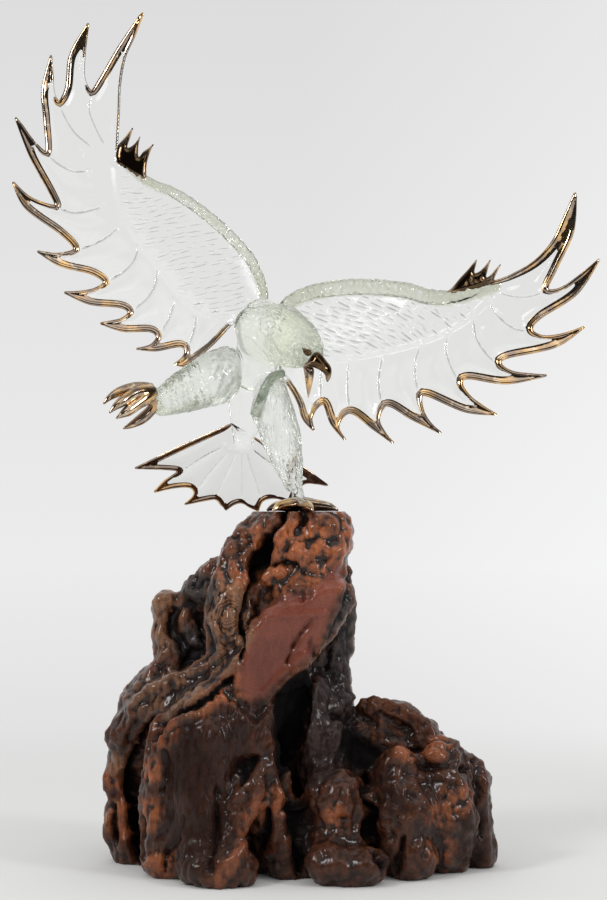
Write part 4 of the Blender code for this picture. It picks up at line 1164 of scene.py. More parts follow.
# Burl: balls along its trunk, ridges and roots, as (x, y, depth, radius), and what is carved into its front
burlForm = {
    "voxel": 0.00163,
    "lumps": [
        [(300, 560, 10, 44), (285, 610, 22, 54), (262, 670, 34, 66), (240, 740, 40, 80), (225, 800, 44, 92),
         (225, 860, 40, 96)],
        [(330, 760, 40, 50), (390, 800, 40, 58), (420, 850, 30, 56)],
        [(316, 848, 10, 46), (366, 850, 12, 44)],
        [(318, 540, -8, 36), (316, 566, -16, 30), (306, 590, -26, 30)], [(276, 534, -4, 31)],
        [(322, 532, -8, 32)], [(300, 530, 0, 35)], [(285, 535, -22, 24)], [(300, 556, -34, 18)],
        [(330, 556, -30, 17)], [(278, 568, -30, 18)], [(316, 584, -38, 16)], [(288, 592, -36, 15)],
        [(340, 575, -14, 16)], [(328, 600, -38, 26), (300, 635, -44, 30), (268, 670, -50, 28)],
        [(292, 618, -46, 22), (270, 630, -48, 21), (256, 652, -52, 20), (244, 672, -50, 18)],
        [(290, 538, -2, 34), (264, 538, 2, 30), (242, 556, -2, 26), (234, 590, -12, 26), (228, 625, -20, 26),
         (236, 658, -28, 24)],
        [(222, 585, -18, 14)], [(218, 612, -22, 14)],
        [(222, 577, 30, 25), (199, 608, 42, 24), (174, 614, 44, 17)], [(200, 640, 50, 34)],
        [(167, 607, 40, 16), (168, 618, 40, 16)],
        [(167, 628, 40, 15), (172, 645, 38, 18), (180, 672, 36, 24)],
        [(160, 690, 40, 28), (140, 705, 36, 24)],
        [(334, 600, 20, 24), (333, 632, 26, 23), (328, 665, 24, 22), (330, 696, 18, 23), (326, 735, -2, 28),
         (322, 775, -16, 26)],
        [(312, 690, -6, 18), (312, 730, -14, 18), (318, 765, -24, 16)],
        [(238, 662, -24, 22), (205, 682, -20, 22), (172, 700, -8, 24), (146, 714, 8, 24), (132, 728, 18, 24)],
        [(130, 740, 22, 22), (124, 762, 26, 20)], [(118, 735, 24, 14)], [(114, 782, 26, 13)],
        [(126, 770, 34, 18), (122, 800, 28, 16), (118, 832, 28, 17)],
        [(130, 842, 30, 24), (134, 856, 30, 24)],
        [(236, 688, -44, 24), (205, 712, -46, 30), (182, 738, -40, 34), (172, 772, -34, 32),
         (170, 815, -34, 32), (172, 852, -40, 32)],
        [(212, 740, -52, 34), (205, 790, -54, 36), (206, 840, -60, 36), (208, 864, -74, 30)],
        [(214, 868, -90, 26), (236, 868, -90, 24)],
        [(250, 720, -50, 28), (262, 765, -52, 26), (268, 800, -52, 26), (284, 840, -50, 30),
         (290, 864, -48, 26)],
        [(252, 775, -74, 12), (240, 808, -80, 13), (228, 845, -90, 14), (220, 872, -94, 16)],
        [(336, 800, -50, 34)], [(340, 835, -54, 30)], [(330, 864, -84, 24)],
        [(350, 868, -90, 22), (368, 866, -90, 20)],
        [(400, 778, -34, 30), (404, 820, -46, 34), (408, 856, -50, 30)],
        [(440, 775, -26, 28), (448, 815, -30, 32), (446, 850, -22, 28)],
        [(464, 768, -6, 18), (466, 785, -6, 25), (470, 825, 0, 25), (480, 852, 2, 19)], [(446, 760, -14, 22)],
        [(396, 764, -42, 17)], [(436, 756, -32, 14)],
        [(366, 707, 4, 10), (382, 707, 2, 13), (402, 716, 0, 15), (424, 734, -4, 16)],
        [(385, 735, 18, 30), (420, 755, 16, 30)], [(350, 730, 14, 18), (366, 732, 16, 20)],
        [(250, 640, 76, 34)], [(205, 720, 96, 40)], [(280, 760, 112, 36)], [(322, 700, 60, 30)],
        [(180, 800, 96, 44)], [(300, 840, 120, 40)], [(390, 840, 84, 36)],
    ],
    "cave": [
        [(302, 684, -66, 12), (292, 718, -66, 16), (290, 755, -66, 16), (300, 786, -72, 11)],
        [(300, 688, -44, 13), (292, 720, -40, 18), (292, 755, -44, 16)],
        [(298, 700, -24, 13), (294, 735, -20, 16)],
    ],
    "recess": [
        [(352, 728, -40, 12), (362, 745, -36, 15), (352, 765, -46, 10)],
        [(362, 736, -16, 12)],
    ],
    "faceMiddle": (287, 634, -60),
    "faceSize": (166, 74),
    "faceSlant": 46,
    "faceLean": 8,
    # Round knobs on the front, as (x, y, half width, half height, how proud)
    "knobs": [
        (276.5, 547, 9, 11, 5), (326, 526, 13, 12, 4.5), (298, 530, 8, 14, 2.5), (320, 549, 11, 10, 4),
        (298, 548, 9, 10, 3), (317.5, 568, 9, 8, 4), (345, 545, 7, 24, 2.5), (281, 573, 8, 7, 4.5),
        (266, 581, 7, 8, 4), (298, 586, 7, 6, 4), (311, 583, 6, 7, 3), (286, 596, 9, 5, 2.5),
        (257, 533, 7, 15, 3.5), (259, 552, 5, 9, 3), (241, 531, 10, 7, 4), (228, 547, 8, 12, 4),
        (234, 571, 6, 12, 4), (222, 581, 5, 11, 4), (246, 556, 6, 12, 3.5), (240, 590, 7, 9, 3),
        (220, 602, 6, 9, 3), (229, 622, 8, 14, 3), (215, 632, 6, 12, 3), (251, 618, 5, 12, 3),
        (252, 636, 5, 10, 3), (162, 601, 12, 10, 4), (182.5, 622, 6, 8, 4), (191, 611, 6, 6, 3),
        (206, 590, 5, 7, 3), (203, 647, 8, 7, 3), (186, 645, 6, 8, 3), (160, 629, 7, 14, 3),
        (172, 655, 9, 8, 4), (110, 705, 10, 8, 3), (113, 738, 10, 12, 4), (103, 773, 8, 10, 4),
        (121, 771, 8, 18, 5), (107, 828, 8, 16, 4), (126, 838, 7, 20, 4), (127, 806, 7, 12, 4),
        (157, 868, 14, 14, 4), (184, 872, 16, 14, 5), (207, 882, 6, 6, 4), (349, 698, 6, 6, 6),
        (402, 754, 9, 11, 6), (435, 755, 17, 7, 7), (436, 742, 11, 7, 5), (453, 744, 7, 5, 4),
        (412, 765, 6, 9, 4), (414, 784, 6, 9, 3.5), (366, 866, 12, 17, 4), (328, 792, 10, 12, 3),
        (345, 806, 10, 14, 3), (322, 826, 9, 15, 3), (338, 866, 9, 16, 3), (313, 858, 8, 16, 3),
        (284, 798, 12, 12, 6), (259, 802, 8, 12, 4), (278, 822, 12, 18, 3), (284, 850, 14, 18, 3),
        (266, 738, 7, 10, 4), (253, 713, 9, 8, 3), (424, 806, 12, 22, 4), (444, 820, 12, 20, 4),
        (462, 786, 7, 16, 4), (424, 858, 18, 18, 4), (450, 852, 14, 16, 4), (398, 800, 9, 20, 3),
        (386, 812, 8, 24, 3), (386, 852, 8, 16, 3), (484, 838, 9, 24, 3), (470, 815, 7, 20, 3),
        (190, 580, 7, 9, 4), (203, 573, 6, 8, 4), (196, 596, 7, 8, 4), (186, 628, 7, 7, 4),
        (212, 560, 6, 7, 3),
    ],
    # Cracks and hollows, as (points, half width, depth)
    "cracks": [
        ([(283, 511), (280, 521), (268, 533), (267, 544), (263, 555), (260, 567), (256, 578)], 4.2, 15),
        ([(258, 572), (250, 590), (246.5, 603), (243.5, 618), (242, 637), (241.5, 652), (241, 664)], 2.2, 11),
        ([(262, 548), (259, 560), (256, 574)], 6.0, 12),
        ([(306, 511), (301.5, 523), (295.5, 534)], 2.6, 7),
        ([(269, 564), (281, 561), (295, 566), (305, 572)], 2.8, 7),
        ([(312, 621), (298.5, 638), (291, 652), (286.7, 664)], 1.5, 8),
        ([(303, 592), (302.5, 600)], 2.0, 6), ([(310.5, 588), (310, 597)], 1.8, 5),
        ([(188, 604), (196, 616), (204, 632), (206, 650), (196, 662)], 7.5, 8),
        ([(176, 612), (172, 628), (180, 640), (190, 656), (180, 670)], 6.0, 7),
        ([(232, 679), (212, 694), (198, 704.5), (177, 713), (161, 722.5), (154, 735), (143, 746)], 3.6, 12),
        ([(161, 720), (150, 734), (141, 750), (134, 768), (132, 782), (132, 797), (136, 817), (137.5, 838),
          (139, 858)], 6.0, 20),
        ([(113, 806), (114, 820), (116, 842)], 3.5, 9),
        ([(163.5, 751), (166, 764), (166, 776), (162, 794)], 3.6, 6),
        ([(184, 817), (176, 838), (166, 852), (165, 872)], 3.4, 6),
        ([(218.5, 790), (218, 815), (217, 831), (213, 850), (209, 872)], 3.0, 8),
        ([(256, 758), (246, 766), (242, 776), (240, 784)], 5.0, 12),
        ([(268, 812), (266, 831), (260, 840), (254, 852)], 6.0, 10),
        ([(283, 740), (289, 790), (297, 815), (300, 840), (300, 876)], 8.0, 16),
        ([(366, 776), (366, 790), (367.5, 801), (374, 813), (368, 830), (375, 852), (384, 868), (386, 884)],
         3.6, 13),
        ([(394, 872), (400, 850), (404, 838)], 4.0, 8),
        ([(398, 718), (404, 728), (412, 736)], 3.0, 6), ([(465, 770), (465.5, 771)], 4.2, 8),
        ([(474, 758), (478, 778), (478, 805), (480, 836)], 3.6, 7),
        ([(415, 762), (430, 766), (450, 766)], 3.0, 6), ([(337, 715), (350, 722), (340, 760)], 5.0, 8),
        ([(310, 640), (316, 672), (304, 690)], 4.0, 6),
        ([(352, 566), (347, 600), (332, 640), (326, 668)], 3.0, 6),
    ],
    # Raised edges, as (points, half width, height)
    "ridges": [
        ([(215, 658), (199, 668), (177, 676.5), (157.5, 685.5), (144, 696), (130, 712)], 4.2, 5),
        ([(172, 643), (159, 663), (143, 681), (126, 700)], 4.5, 4),
        ([(228, 681), (209, 695), (191, 707.5), (170, 722), (157, 735), (146, 747), (142, 762)], 4.6, 4),
        ([(257, 784), (254, 805), (250, 826), (239, 851), (228, 870), (218, 886)], 5.5, 5),
        ([(143, 707), (128, 725), (117, 757), (116, 775)], 3.6, 4),
        ([(266, 618), (290, 615.5), (328, 613.5)], 3.0, 2.4),
        ([(387, 742), (400, 744), (415, 746), (450, 748), (457, 758)], 2.0, 3),
        ([(366, 694), (388, 702), (405, 711), (427, 723), (433, 734)], 3.0, 2.5),
        ([(372, 704), (392, 714), (410, 726)], 2.0, 2), ([(366, 712), (384, 724), (402, 736)], 1.8, 2),
        ([(320, 641), (305, 654), (287, 668), (262, 694)], 2.6, 2),
    ],
    # Patches of the front, each as its corners, and how softly four of them end
    "patches": {"smooth": 5, "barkSides": 5, "plane": 7, "orange": 5},
    "smooth": [(343, 564), (342, 583), (334, 602), (329, 617), (322, 636), (315, 651), (302, 663), (288, 671),
               (275, 684), (265, 696), (252, 700), (242, 690), (241, 664), (249, 646), (257, 628), (262, 610),
               (278, 602), (294, 595), (309, 591), (322, 581), (335, 566)],
    "plane": [(241, 700), (262, 698), (275, 712), (275, 730), (257, 748), (241, 767), (228, 782), (226, 806),
              (220, 845), (210, 871), (190, 876), (175, 850), (165, 820), (163, 780), (166, 750), (178, 730),
              (205, 712), (226, 702)],
    "barkSides": [(353, 556), (360, 575), (359, 600), (353, 640), (352, 690), (356, 735), (350, 760),
                  (338, 775), (305, 790), (297, 770), (303, 740), (300, 715), (312, 690), (320, 668),
                  (328, 640), (337, 610), (346, 585)],
    "caveMouth": [(309, 668), (294, 674), (277, 692), (273, 709), (275, 730), (275, 756), (281, 780),
                  (287, 793), (288, 772), (295, 756), (299, 740), (304, 714), (311, 699), (313, 683)],
    "recessMouth": [(345, 712), (352, 722), (366, 738), (382, 745), (383, 762), (366, 772), (348, 770),
                    (342, 745)],
    "orange": [(252, 795), (268, 782), (284, 790), (292, 800), (286, 815), (270, 815), (256, 828), (248, 850),
               (236, 872), (222, 884), (212, 882), (224, 860), (238, 830), (243, 812)],
    # Where the wood is bark, streaked, ringed or dark, and where it is warm or golden in tone, as (x, y,
    # radius). The warm and golden spots also paint highlights on lumps that catch the light
    "bark": [(195, 645, 26), (203, 590, 20)],
    "streaked": [(200, 780, 60), (165, 800, 40), (215, 840, 50), (235, 720, 40), (180, 720, 40),
                 (140, 760, 40), (400, 720, 30)],
    "warmAndHighlight": [(440, 850, 18), (325, 560, 40), (300, 545, 30), (276, 580, 20), (335, 535, 26), (235, 690, 24),
             (205, 705, 20), (165, 732, 20), (152, 770, 16), (150, 815, 20), (120, 775, 22), (120, 820, 24),
             (335, 815, 14), (405, 754, 13), (437, 750, 15), (440, 815, 16), (455, 800, 20), (160, 865, 18),
             (258, 534, 16), (232, 578, 18), (280, 800, 18)],
    "rings": [(226, 611, 24), (234, 624, 22), (224, 636, 18)],
    "goldenAndHighlight": [(160, 640, 20), (230, 645, 22), (122, 764, 18), (152, 698, 26), (206, 590, 18), (226, 605, 30),
               (228, 635, 26), (222, 660, 18), (185, 690, 30), (162, 610, 26), (240, 640, 20)],
    "dark": [(196, 600, 18), (190, 770, 30), (215, 835, 26), (392, 800, 18), (300, 820, 16),
             (300, 860, 16), (380, 775, 16), (386, 860, 16), (476, 820, 16), (472, 852, 18)],
}


def spots(flat, discs):
    share = np.zeros(len(flat))
    for x, y, radius in discs:
        away = np.hypot(flat[:, 0] - x, flat[:, 1] - y)
        share = np.maximum(share, 1 - ease(radius * 0.55, radius * 1.15, away))
    return share


def patch(flat, corners, soft):
    # 1 within the corners, easing to 0 across the soft rim
    line = smoothLine(list(corners) + list(corners[:1]), 4)
    away, _ = toLine(flat, line)
    return ease(-soft, soft, np.where(within(flat, line), away, -away))


def sheltered(places, normals, faces, reach):
    # The share of the ways out from each corner that soon meet the wood again
    tree = BVHTree.FromPolygons(places.tolist(), faces)
    steps = np.arange(18) + 0.5
    tilt, turn = np.arccos(1 - 2 * steps / 18), math.pi * (1 + 5 ** 0.5) * steps
    ways = np.column_stack([np.cos(turn) * np.sin(tilt), np.sin(turn) * np.sin(tilt), np.cos(tilt)])
    met, tried = np.zeros(len(places)), np.zeros(len(places))
    starts = [Vector(place) for place in places + normals * 0.0012]
    for way in ways:
        lean = normals @ way
        heading = Vector(way)
        for index in np.flatnonzero(lean > 0.2):
            tried[index] += lean[index]
            if tree.ray_cast(starts[index], heading, reach)[0] is not None:
                met[index] += lean[index]
    return met / np.maximum(tried, 1e-6)


def cutAway(made, other):
    cut = made.modifiers.new("cut", "BOOLEAN")
    cut.operation, cut.solver, cut.object = "DIFFERENCE", "MANIFOLD", other
    applied(made)
    bpy.data.objects.remove(other)


def faceBlock():
    # What is sawn off in front of the burl's slanted smooth face
    along, across = (size * drawing["unit"] for size in burlForm["faceSize"])
    shape = bmesh.new()
    bmesh.ops.create_cube(shape, size=1)
    bmesh.ops.scale(shape, vec=(along, across, across), verts=shape.verts)
    bmesh.ops.translate(shape, vec=(0, -across / 2, 0), verts=shape.verts)
    middle = Vector(front(*burlForm["faceMiddle"]))
    turn = Matrix.Translation(middle) @ Matrix.Rotation(-math.radians(burlForm["faceSlant"]), 4, "Y")
    turn = turn @ Matrix.Rotation(math.radians(burlForm["faceLean"]), 4, "X")
    bmesh.ops.transform(shape, matrix=turn, verts=shape.verts)
    return fromShape("faceBlock", shape)


def evened(values, pairs, rounds):
    # Averages a value at every corner with its neighbours
    count = np.bincount(pairs.ravel(), minlength=len(values)).astype(float)
    shape = (-1,) + (1,) * (values.ndim - 1)
    for _ in range(rounds):
        total = np.zeros_like(values)
        np.add.at(total, pairs[:, 0], values[pairs[:, 1]])
        np.add.at(total, pairs[:, 1], values[pairs[:, 0]])
        values = 0.4 * values + 0.6 * total / np.maximum(count, 1).reshape(shape)
    return values


def waves(points, size, shift=0):
    return np.array([noiseAt(*(place / size + shift)) for place in points])


def knobbly(points, size, warp=None):
    # Round knobs side by side, with creases between them
    near = []
    for place in points:
        at = Vector(place / size)
        if warp:
            at = at + Vector((place[1], place[0], 0)) / warp
        near.append(noise.voronoi(at)[0][:2])
    near = np.array(near)
    return np.sqrt(np.maximum(near[:, 1] - near[:, 0], 0)) - 0.45


def seenInFront(places, normals, faces, pairs):
    # 1 where the wood faces the viewer with nothing before it
    view = np.array([0, -studio["cameraBack"], drawing["topHeight"]]) - places
    view /= np.linalg.norm(view, axis=1)[:, None]
    facing = (normals * view).sum(1)
    tree = BVHTree.FromPolygons(places.tolist(), faces)
    seen = [facing[index] > 0 and tree.ray_cast(Vector(place + way * 0.004), Vector(way), 0.3)[0] is None
            for index, (place, way) in enumerate(zip(places, view))]
    return evened(np.array(seen).astype(float), pairs, 2) * ease(0.02, 0.3, facing)


def burlBody():
    burl = fusedBalls("burl", burlForm["lumps"], [1] * len(burlForm["lumps"]), 0.0022, 2, subdivisions=2)
    for part in ("cave", "recess"):
        cutAway(burl, fusedBalls(part, burlForm[part], [1] * 3, 0.002, 1))
    cutAway(burl, faceBlock())
    trim(burl, -0.003, drawing["topHeight"] + 0.006)
    return remeshed(burl, burlForm["voxel"], 3)


# Relief of the wood: how many pixels proud, then its size, or its direction, length, width and seed
woodRelief = {
    "swell": (4.0, 34, 3),
    "knobs": (3.3, (15, 19, 15), 130),
    "waves": (2.4, (11, 15, 11)),
    "flow": (3.4, (0.12, 1, 0.1), 60, 7.5, 1),
    "threads": (1.3, (0.2, 1, 0), 16, 3.8, 2),
    "planeThreads": (2.2, (-0.22, 1, 0), 26, 3.6, 4),
    "pebbles": (2.2, (6.0, 9.0, 6.0)),
    "ripples": [(3.2, (0.1, 1, 0.3), 11, 6, 7), (1.4, (0.1, 1, 0), 5, 3, 8)],
    "knobShare": 0.8,
    "sheltered": 0.011,
    "ringCentre": (229, 616, 0.62),
}


def burlRelief(flat, area, seen):
    # How far the wood rises over its plain form, in pixels, and where it is cracked
    calm, smooth, bark = np.maximum(area["plane"], area["smooth"]), area["smooth"], area["bark"]

    def proud(kind, form):
        high, *settings = woodRelief[kind]
        return high * form(flat, *settings)

    rise = proud("swell", waves) * (1 - 0.8 * calm)
    rise += proud("knobs", knobbly) * (1 - 0.9 * calm) * (1 - 0.6 * bark)
    rise += proud("waves", waves) * (1 - 0.85 * calm)
    high, *settings = woodRelief["flow"]
    flow = grain(flat + 6 * np.sin(flat[:, [1, 0, 0]] / 31), *settings)
    rise += high * (0.35 - np.abs(flow)) * area["streaked"] * (1 - 0.7 * calm)
    rise += proud("threads", grain) * (1 - 0.85 * smooth)
    rise += proud("planeThreads", grain) * np.clip(calm - smooth, 0, 1)
    high, size = woodRelief["pebbles"]
    rise += knobbly(flat, size) * (high + bark) * (1 - 0.85 * calm)
    crack, lift = np.zeros(len(flat)), np.zeros(len(flat))
    for x, y, wide, high, raised in burlForm["knobs"]:
        away = np.hypot((flat[:, 0] - x) / wide, (flat[:, 1] - y) / high)
        lift = np.maximum(lift, woodRelief["knobShare"] * raised * np.sqrt(np.maximum(1 - away ** 2, 0)))
    near = np.flatnonzero(seen > 0.01)
    for points, wide, high in burlForm["ridges"]:
        away, _ = toLine(flat[near], smoothLine(points, 5))
        lift[near] = np.maximum(lift[near], high * np.exp(-(away / wide) ** 2))
    for points, wide, deep in burlForm["cracks"]:
        line = smoothLine(points, 5)
        away, where = toLine(flat[near], line)
        away = np.abs(away + area["ripple"][near] * min(1, wide / 4))
        narrowing = 0.55 + 0.45 * np.sin(math.pi * np.clip(where / (len(line) - 1), 0.06, 0.94))
        ragged = wide * (1 + 0.3 * np.sin(where * 0.37 + deep)) * narrowing
        gone = np.exp(-(away / ragged) ** 2)
        crack[near] = np.maximum(crack[near], gone * min(1, deep / 11) ** 2)
        rise[near] -= deep * gone * seen[near]
    return rise + lift * seen, crack


def burlPiece():
    burl = burlBody()
    places, normals = meshArrays(burl.data)
    faces = [tuple(face.vertices) for face in burl.data.polygons]
    flat = drawn(places)
    pairs = np.empty(len(burl.data.edges) * 2, np.int32)
    burl.data.edges.foreach_get("vertices", pairs)
    pairs = pairs.reshape(-1, 2)
    seen = seenInFront(places, normals, faces, pairs)
    area = {name: patch(flat, burlForm[name], soft) * seen for name, soft in burlForm["patches"].items()}
    bark = np.maximum(area.pop("barkSides") * (1 - area["smooth"]), spots(flat, burlForm["bark"]) * seen)
    area["bark"] = bark
    area["streaked"] = np.maximum(spots(flat, burlForm["streaked"]) * seen, 0.25)
    area["ripple"] = sum(high * grain(flat, *settings) for high, *settings in woodRelief["ripples"])
    rise, crack = burlRelief(flat, area, seen)
    places += normals * (rise * drawing["unit"])[:, None]
    places = evened(places, pairs, 1)
    low, high = (np.array(corner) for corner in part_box("burl_base"))
    places = np.clip(places, (low[0], low[1], -1), (high[0], high[1], 1))
    burl.data.vertices.foreach_set("co", places.ravel())
    hollow, narrow = (((places - evened(places, pairs, rounds)) * normals).sum(1) / drawing["unit"]
                      for rounds in (30, 5))
    # Painted shade: inside the cave and the recess the wood is painted near black
    inside = patch(flat, burlForm["caveMouth"], 3) * ease(-76, -60, flat[:, 2])
    inRecess = patch(flat, burlForm["recessMouth"], 7) * ease(-44, -26, flat[:, 2]) * 0.75
    inside = np.maximum(inside, inRecess) * (flat[:, 2] < 60)
    wobble = 2.2 * np.sin(flat[:, 1] / 5.5) + 0.7 * area["ripple"]
    ringX, ringY, squash = woodRelief["ringCentre"]
    marks = {
        "crack": np.maximum(crack * seen, inside),
        # Occlusion: the material paints shade into hollows from it
        "sheltered": evened(sheltered(places, normals, faces, woodRelief["sheltered"]), pairs, 1),
        # How convex the wood is: the material paints light on bumps and shade in hollows from it
        "proud": np.clip(0.5 + hollow / 7 + narrow / 3, 0, 1),
        "warmAndHighlight": spots(flat, burlForm["warmAndHighlight"]) * (0.35 + 0.65 * seen),
        "goldenAndHighlight": spots(flat, burlForm["goldenAndHighlight"]) * (0.3 + 0.7 * seen),
        "dark": spots(flat, burlForm["dark"]) * seen,
        "rings": spots(flat, burlForm["rings"]) * seen,
        "ringWay": np.hypot(flat[:, 0] - ringX, (flat[:, 1] - ringY) * squash) + wobble,
        **{name: area[name] for name in ("orange", "plane", "bark", "smooth")},
    }
    keepMarks(burl, marks)
    trim(burl, 0.0, high[2])
    burl.data.shade_smooth()
    burl.data.set_sharp_from_angle(angle=math.radians(58))
    print("burl", len(burl.data.vertices), "points", len(burl.data.polygons), "faces")
    return burl


def trim(made, low, high):
    # Cuts the wood flat at the ground and at the seat of the glass
    shape = bmesh.new()
    shape.from_mesh(made.data)
    for height, way in ((low, -1), (high, 1)):
        geometry = shape.verts[:] + shape.edges[:] + shape.faces[:]
        cut = bmesh.ops.bisect_plane(shape, geom=geometry, plane_co=(0, 0, height), plane_no=(0, 0, way),
                                     clear_outer=True, dist=1e-7)
        rim = [item for item in cut["geom_cut"] if isinstance(item, bmesh.types.BMEdge)]
        bmesh.ops.triangle_fill(shape, edges=rim, use_beauty=True, normal=(0, 0, way))
    bmesh.ops.recalc_face_normals(shape, faces=shape.faces)
    shape.to_mesh(made.data)
    shape.free()


woodColours = {
    # Painted shade and light: creases is the shaded copy of the wood, raised the lit copy
    "creases": (0.016, 0.006, 0.003, 1),
    "raised": (0.170, 0.050, 0.018, 1),
    # the wood's warm and golden tones, also used as painted highlight
    "warmAndHighlight": (0.50, 0.145, 0.050, 1),
    "goldenAndHighlight": (0.31, 0.155, 0.080, 1),
    "orange": (0.27, 0.080, 0.032, 1),
    "planeLow": (0.012, 0.006, 0.005, 1),
    "planeHigh": (0.120, 0.034, 0.018, 1),
    "faceLow": (0.105, 0.026, 0.018, 1),
    "faceHigh": (0.27, 0.070, 0.040, 1),
    "barkLow": (0.004, 0.004, 0.005, 1),
    "barkHigh": (0.11, 0.094, 0.088, 1),
    "streaks": (0.014, 0.005, 0.003, 1),
    "dark": (0.016, 0.009, 0.008, 1),
    # painted shade towards the bottom of the wood
    "foot": (0.020, 0.007, 0.004, 1),
    # painted shade in hollows
    "occlusionShade": (0.005, 0.003, 0.003, 1),
    # painted shade in cracks, the cave and the recess
    "cracks": (0.003, 0.002, 0.002, 1),
}


def burlMaterial():
    material, shader = newMaterial("polishedBurl")
    mark = shader.marks("crack", "sheltered", "proud", "warmAndHighlight", "goldenAndHighlight", "orange", "plane", "bark", "dark",
                        "smooth", "rings", "ringWay")
    place = shader.node("ShaderNodeTexCoord", output=3)
    height = shader.parts(place)[2]
    cloud = shader.clouds(place, 45, 5, 0.6)
    veins = shader.clouds(shader.stretched(place, (1, 1, 0.2)), 300, 4, 0.6, 0.5)
    fine = shader.clouds(place, 480, 4, 0.65)
    ringed = mark["rings"] * mark["ringWay"].sum("SINE", mark["ringWay"] * 2.1 + fine * 2.0)
    stirred = shader.node("ShaderNodeTexNoise", {}, {"Vector": place, "Scale": 90.0}, 1)
    wavy = shader.node("ShaderNodeVectorMath", {"operation": "MULTIPLY_ADD"}, {
        0: stirred, 1: (0.008, 0.008, 0.008), 2: place})
    nubs = shader.node("ShaderNodeTexVoronoi", {"feature": "SMOOTH_F1"}, {
        "Vector": wavy, "Scale": 175.0, "Smoothness": 0.2})
    knobby = 1 - (mark["smooth"] + mark["plane"] * 0.8)
    # Painted light and shade: bumps lighter and hollows darker, mixed with grain noise
    lit = shader.ramp(mark["proud"] + (veins - 0.5) * 0.8 + (cloud - 0.5) * 0.6 + (fine - 0.5) * 0.4
                      + ringed * 0.2 + (0.40 - nubs) * knobby * 0.9, 0.13, 0.82)
    patchy = shader.ramp(cloud, 0.30, 0.66)
    streak = shader.ramp(veins, 0.40, 0.62)
    # Painted shade: the wood is painted darker towards its bottom, as if lit from above
    lower = shader.ramp(height, 0.17, 0.08, 0, 0.66)
    # Painted shade: hollows, where the ways out soon meet the wood again, are painted near black and lose
    # their lacquer
    occluded = shader.ramp(mark["sheltered"], 0.30, 0.85)
    planeWood = shader.mixed(streak * patchy, woodColours["planeLow"], woodColours["planeHigh"])
    faceWood = shader.mixed(cloud + (veins - 0.5) * 0.7, woodColours["faceLow"], woodColours["faceHigh"])
    barkWood = shader.mixed(veins * lit, woodColours["barkLow"], woodColours["barkHigh"])
    wood = shader.layered(woodColours["creases"], [
        (lit, woodColours["raised"]),
        # The warm and golden spots are partly the wood's own tone and partly painted highlight on lumps that
        # catch the light
        (mark["warmAndHighlight"] * lit * patchy, woodColours["warmAndHighlight"]),
        (mark["goldenAndHighlight"] * lit * 0.75, woodColours["goldenAndHighlight"]),
        (mark["plane"] * 0.75, planeWood),
        ((1 - streak) * (1 - mark["smooth"]) * 0.35, woodColours["streaks"]),
        (mark["orange"] * lit * patchy, woodColours["orange"]),
        (mark["smooth"] * 0.9, faceWood),
        (mark["dark"] * 0.6, woodColours["dark"]),
        (mark["bark"] * 0.9, barkWood),
        (lower * (1 - mark["orange"] * 0.8) * (1 - mark["warmAndHighlight"] * 0.5), woodColours["foot"]),
        (occluded * 0.9, woodColours["occlusionShade"]),
    ])
    rough = veins * (mark["plane"] * 1.6 + 1.2) + fine * 0.9 + ringed * 0.3 - nubs * knobby * 1.7
    bump = shader.node("ShaderNodeBump", {}, {"Height": rough, "Strength": 0.8, "Distance": 0.0016})
    lacquer = ((1 - occluded) * (1 - mark["bark"] * 0.5) * (1 - mark["plane"] * 0.3) * (1 - lower * 0.35)
               * (1 - mark["dark"] * 0.6))
    polished = shader.node("ShaderNodeBsdfPrincipled", {}, {
        "Base Color": wood, "Roughness": fine * 0.25 + 0.34, "Specular IOR Level": 0.1, "Normal": bump,
        "Coat Weight": lacquer, "Coat Roughness": 0.2, "Coat IOR": 1.38})
    # Painted shade: cracks, the cave and the recess are covered by a dull near-black finish
    hollow = shader.node("ShaderNodeBsdfPrincipled", {}, {
        "Base Color": woodColours["cracks"], "Roughness": 0.8, "Specular IOR Level": 0.1})
    deep = shader.ramp(mark["crack"], 0.15, 0.75)
    shader.finish(shader.node("ShaderNodeMixShader", {}, {0: deep, 1: polished, 2: hollow}))
    return material


glassMaterial()
gildingMaterial()
eagle = eaglePiece()
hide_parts("glass_eagle")
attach(eagle, "root")
print("eagle done")


burl = burlPiece()
burl.data.materials.clear()
burl.data.materials.append(burlMaterial())
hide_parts("burl_base")
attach(burl, "root")
print("burl done")


def backdropLevel(shader, x, z):
    # How bright the backdrop is in a direction: paler to the right and towards the floor
    return shader.ramp(z, -0.03, 0.27, 0.838, 0.722) + shader.ramp(x, 0.0, 0.16, 0, 0.072)


def worldLight():
    world = bpy.data.worlds.new("studio")
    bpy.context.scene.world = world
    world.use_nodes = True
    shader = Shader(world.node_tree)
    x, y, z = shader.parts(shader.node("ShaderNodeTexCoord", output=0))
    rays = shader.node("ShaderNodeLightPath").link.node.outputs
    scattered, mirrored, refracted = (Socket(shader, rays[f"Is {kind} Ray"])
                                      for kind in ("Diffuse", "Glossy", "Transmission"))
    # Mirrored rays meet a dark room in front, pale screens behind, a ceiling and soft boxes. Rays through the
    # glass count as mirrored too, and for them the room in front is pale
    room = shader.ramp(y, -0.15, 0.5, refracted * 0.6 + 0.03, 0.82, True)
    room = room + shader.ramp(z, 0.6, 0.9, 0, 0.3, True)
    for centre, wide, power in studio["softBoxes"]:
        spread = ((x - centre[0]) * (x - centre[0]) + (y - centre[1]) * (y - centre[1])
                  + (z - centre[2]) * (z - centre[2]))
        room = room + shader.ramp(spread, wide ** 2, (wide * 0.55) ** 2, 0, power, True)
    level = backdropLevel(shader, x, z)
    level = level + (room - level) * mirrored
    level = level + (shader.ramp(z, -0.2, 0.9, 0.12, 1.05, True) - level) * scattered
    fill = shader.node("ShaderNodeBackground", {}, {"Color": (1, 1, 1, 1), "Strength": level})
    shader.finish(fill, kind="ShaderNodeOutputWorld")


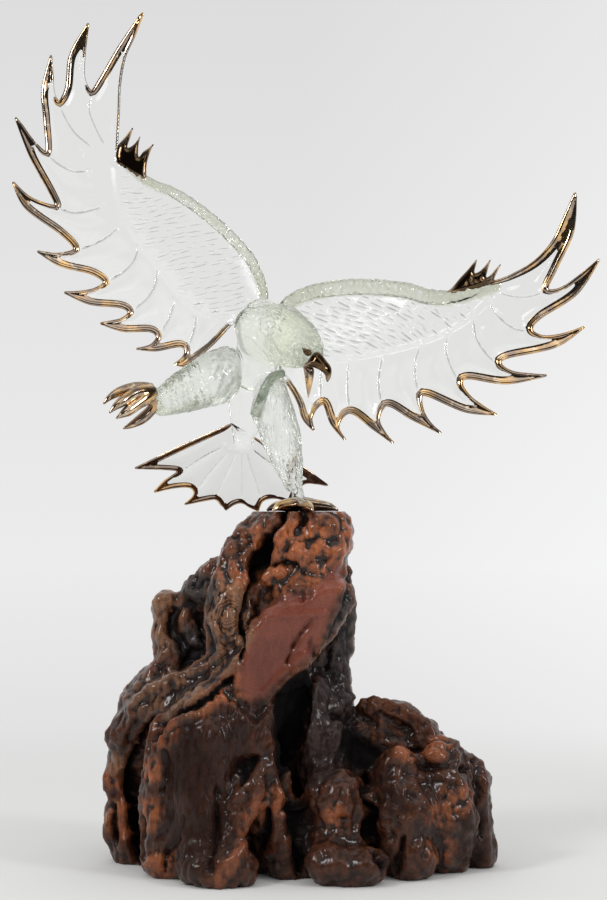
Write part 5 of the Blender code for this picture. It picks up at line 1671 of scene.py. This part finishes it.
def softLight(name, place, size, power):
    lamp = bpy.data.lights.new(name, "AREA")
    lamp.shape, lamp.size, lamp.size_y = "RECTANGLE", *size
    lamp.energy = power
    made = linked(name, lamp)
    made.location = place
    made.rotation_euler = (Vector(studio["lampsLookAt"]) - Vector(place)).to_track_quat("-Z", "Y").to_euler()


def floorPiece():
    # A flat paper floor: it catches the soft shadow near the wood and fades out beyond
    reach, drop = studio["floorReach"], -studio["floorDrop"]
    places = [(-reach, -reach, drop), (reach, -reach, drop), (reach, reach, drop), (-reach, reach, drop)]
    made = newObject("floor", places, [[0, 1, 2, 3]])
    material, shader = newMaterial("paleFloor")
    x, y, _ = shader.parts(shader.node("ShaderNodeTexCoord", output=3))
    reached = x.sum("SQRT", x * x + y * y)
    far = shader.ramp(reached, *studio["shadowReach"], soft=True)
    distance = reached + studio["cameraBack"]
    drawnLow = drawing["topHeight"] / distance
    level = backdropLevel(shader, x / distance, -drawing["topHeight"] / distance)
    level = level - shader.ramp(drawnLow, 0.03, 0.17, 0, 0.13)
    paper = shader.node("ShaderNodeBsdfPrincipled", {}, {
        "Base Color": (0.665, 0.665, 0.655, 1), "Roughness": 0.9})
    glow = shader.node("ShaderNodeBsdfPrincipled", {}, {
        "Base Color": (0, 0, 0, 1), "Roughness": 1.0, "Specular IOR Level": 0.0, "Emission Strength": 1.0,
        "Emission Color": shader.node("ShaderNodeCombineColor", {}, {0: level, 1: level, 2: level})})
    shader.finish(shader.node("ShaderNodeMixShader", {}, {0: far, 1: paper, 2: glow}))
    made.data.materials.append(material)


worldLight()
floorPiece()
for lamp in studio["lamps"]:
    softLight(*lamp)
lens = bpy.data.cameras.new("view")
lens.lens, lens.sensor_width, lens.shift_y = studio["lens"], 36, studio["shift"]
camera = linked("view", lens)
camera.location = (0, -studio["cameraBack"], drawing["topHeight"])
camera.rotation_euler = (math.pi / 2, 0, 0)
bpy.context.scene.camera = camera
bpy.context.scene.view_settings.view_transform = "Standard"
cycles = bpy.context.scene.cycles
cycles.max_bounces, cycles.transmission_bounces, cycles.glossy_bounces = 24, 24, 12
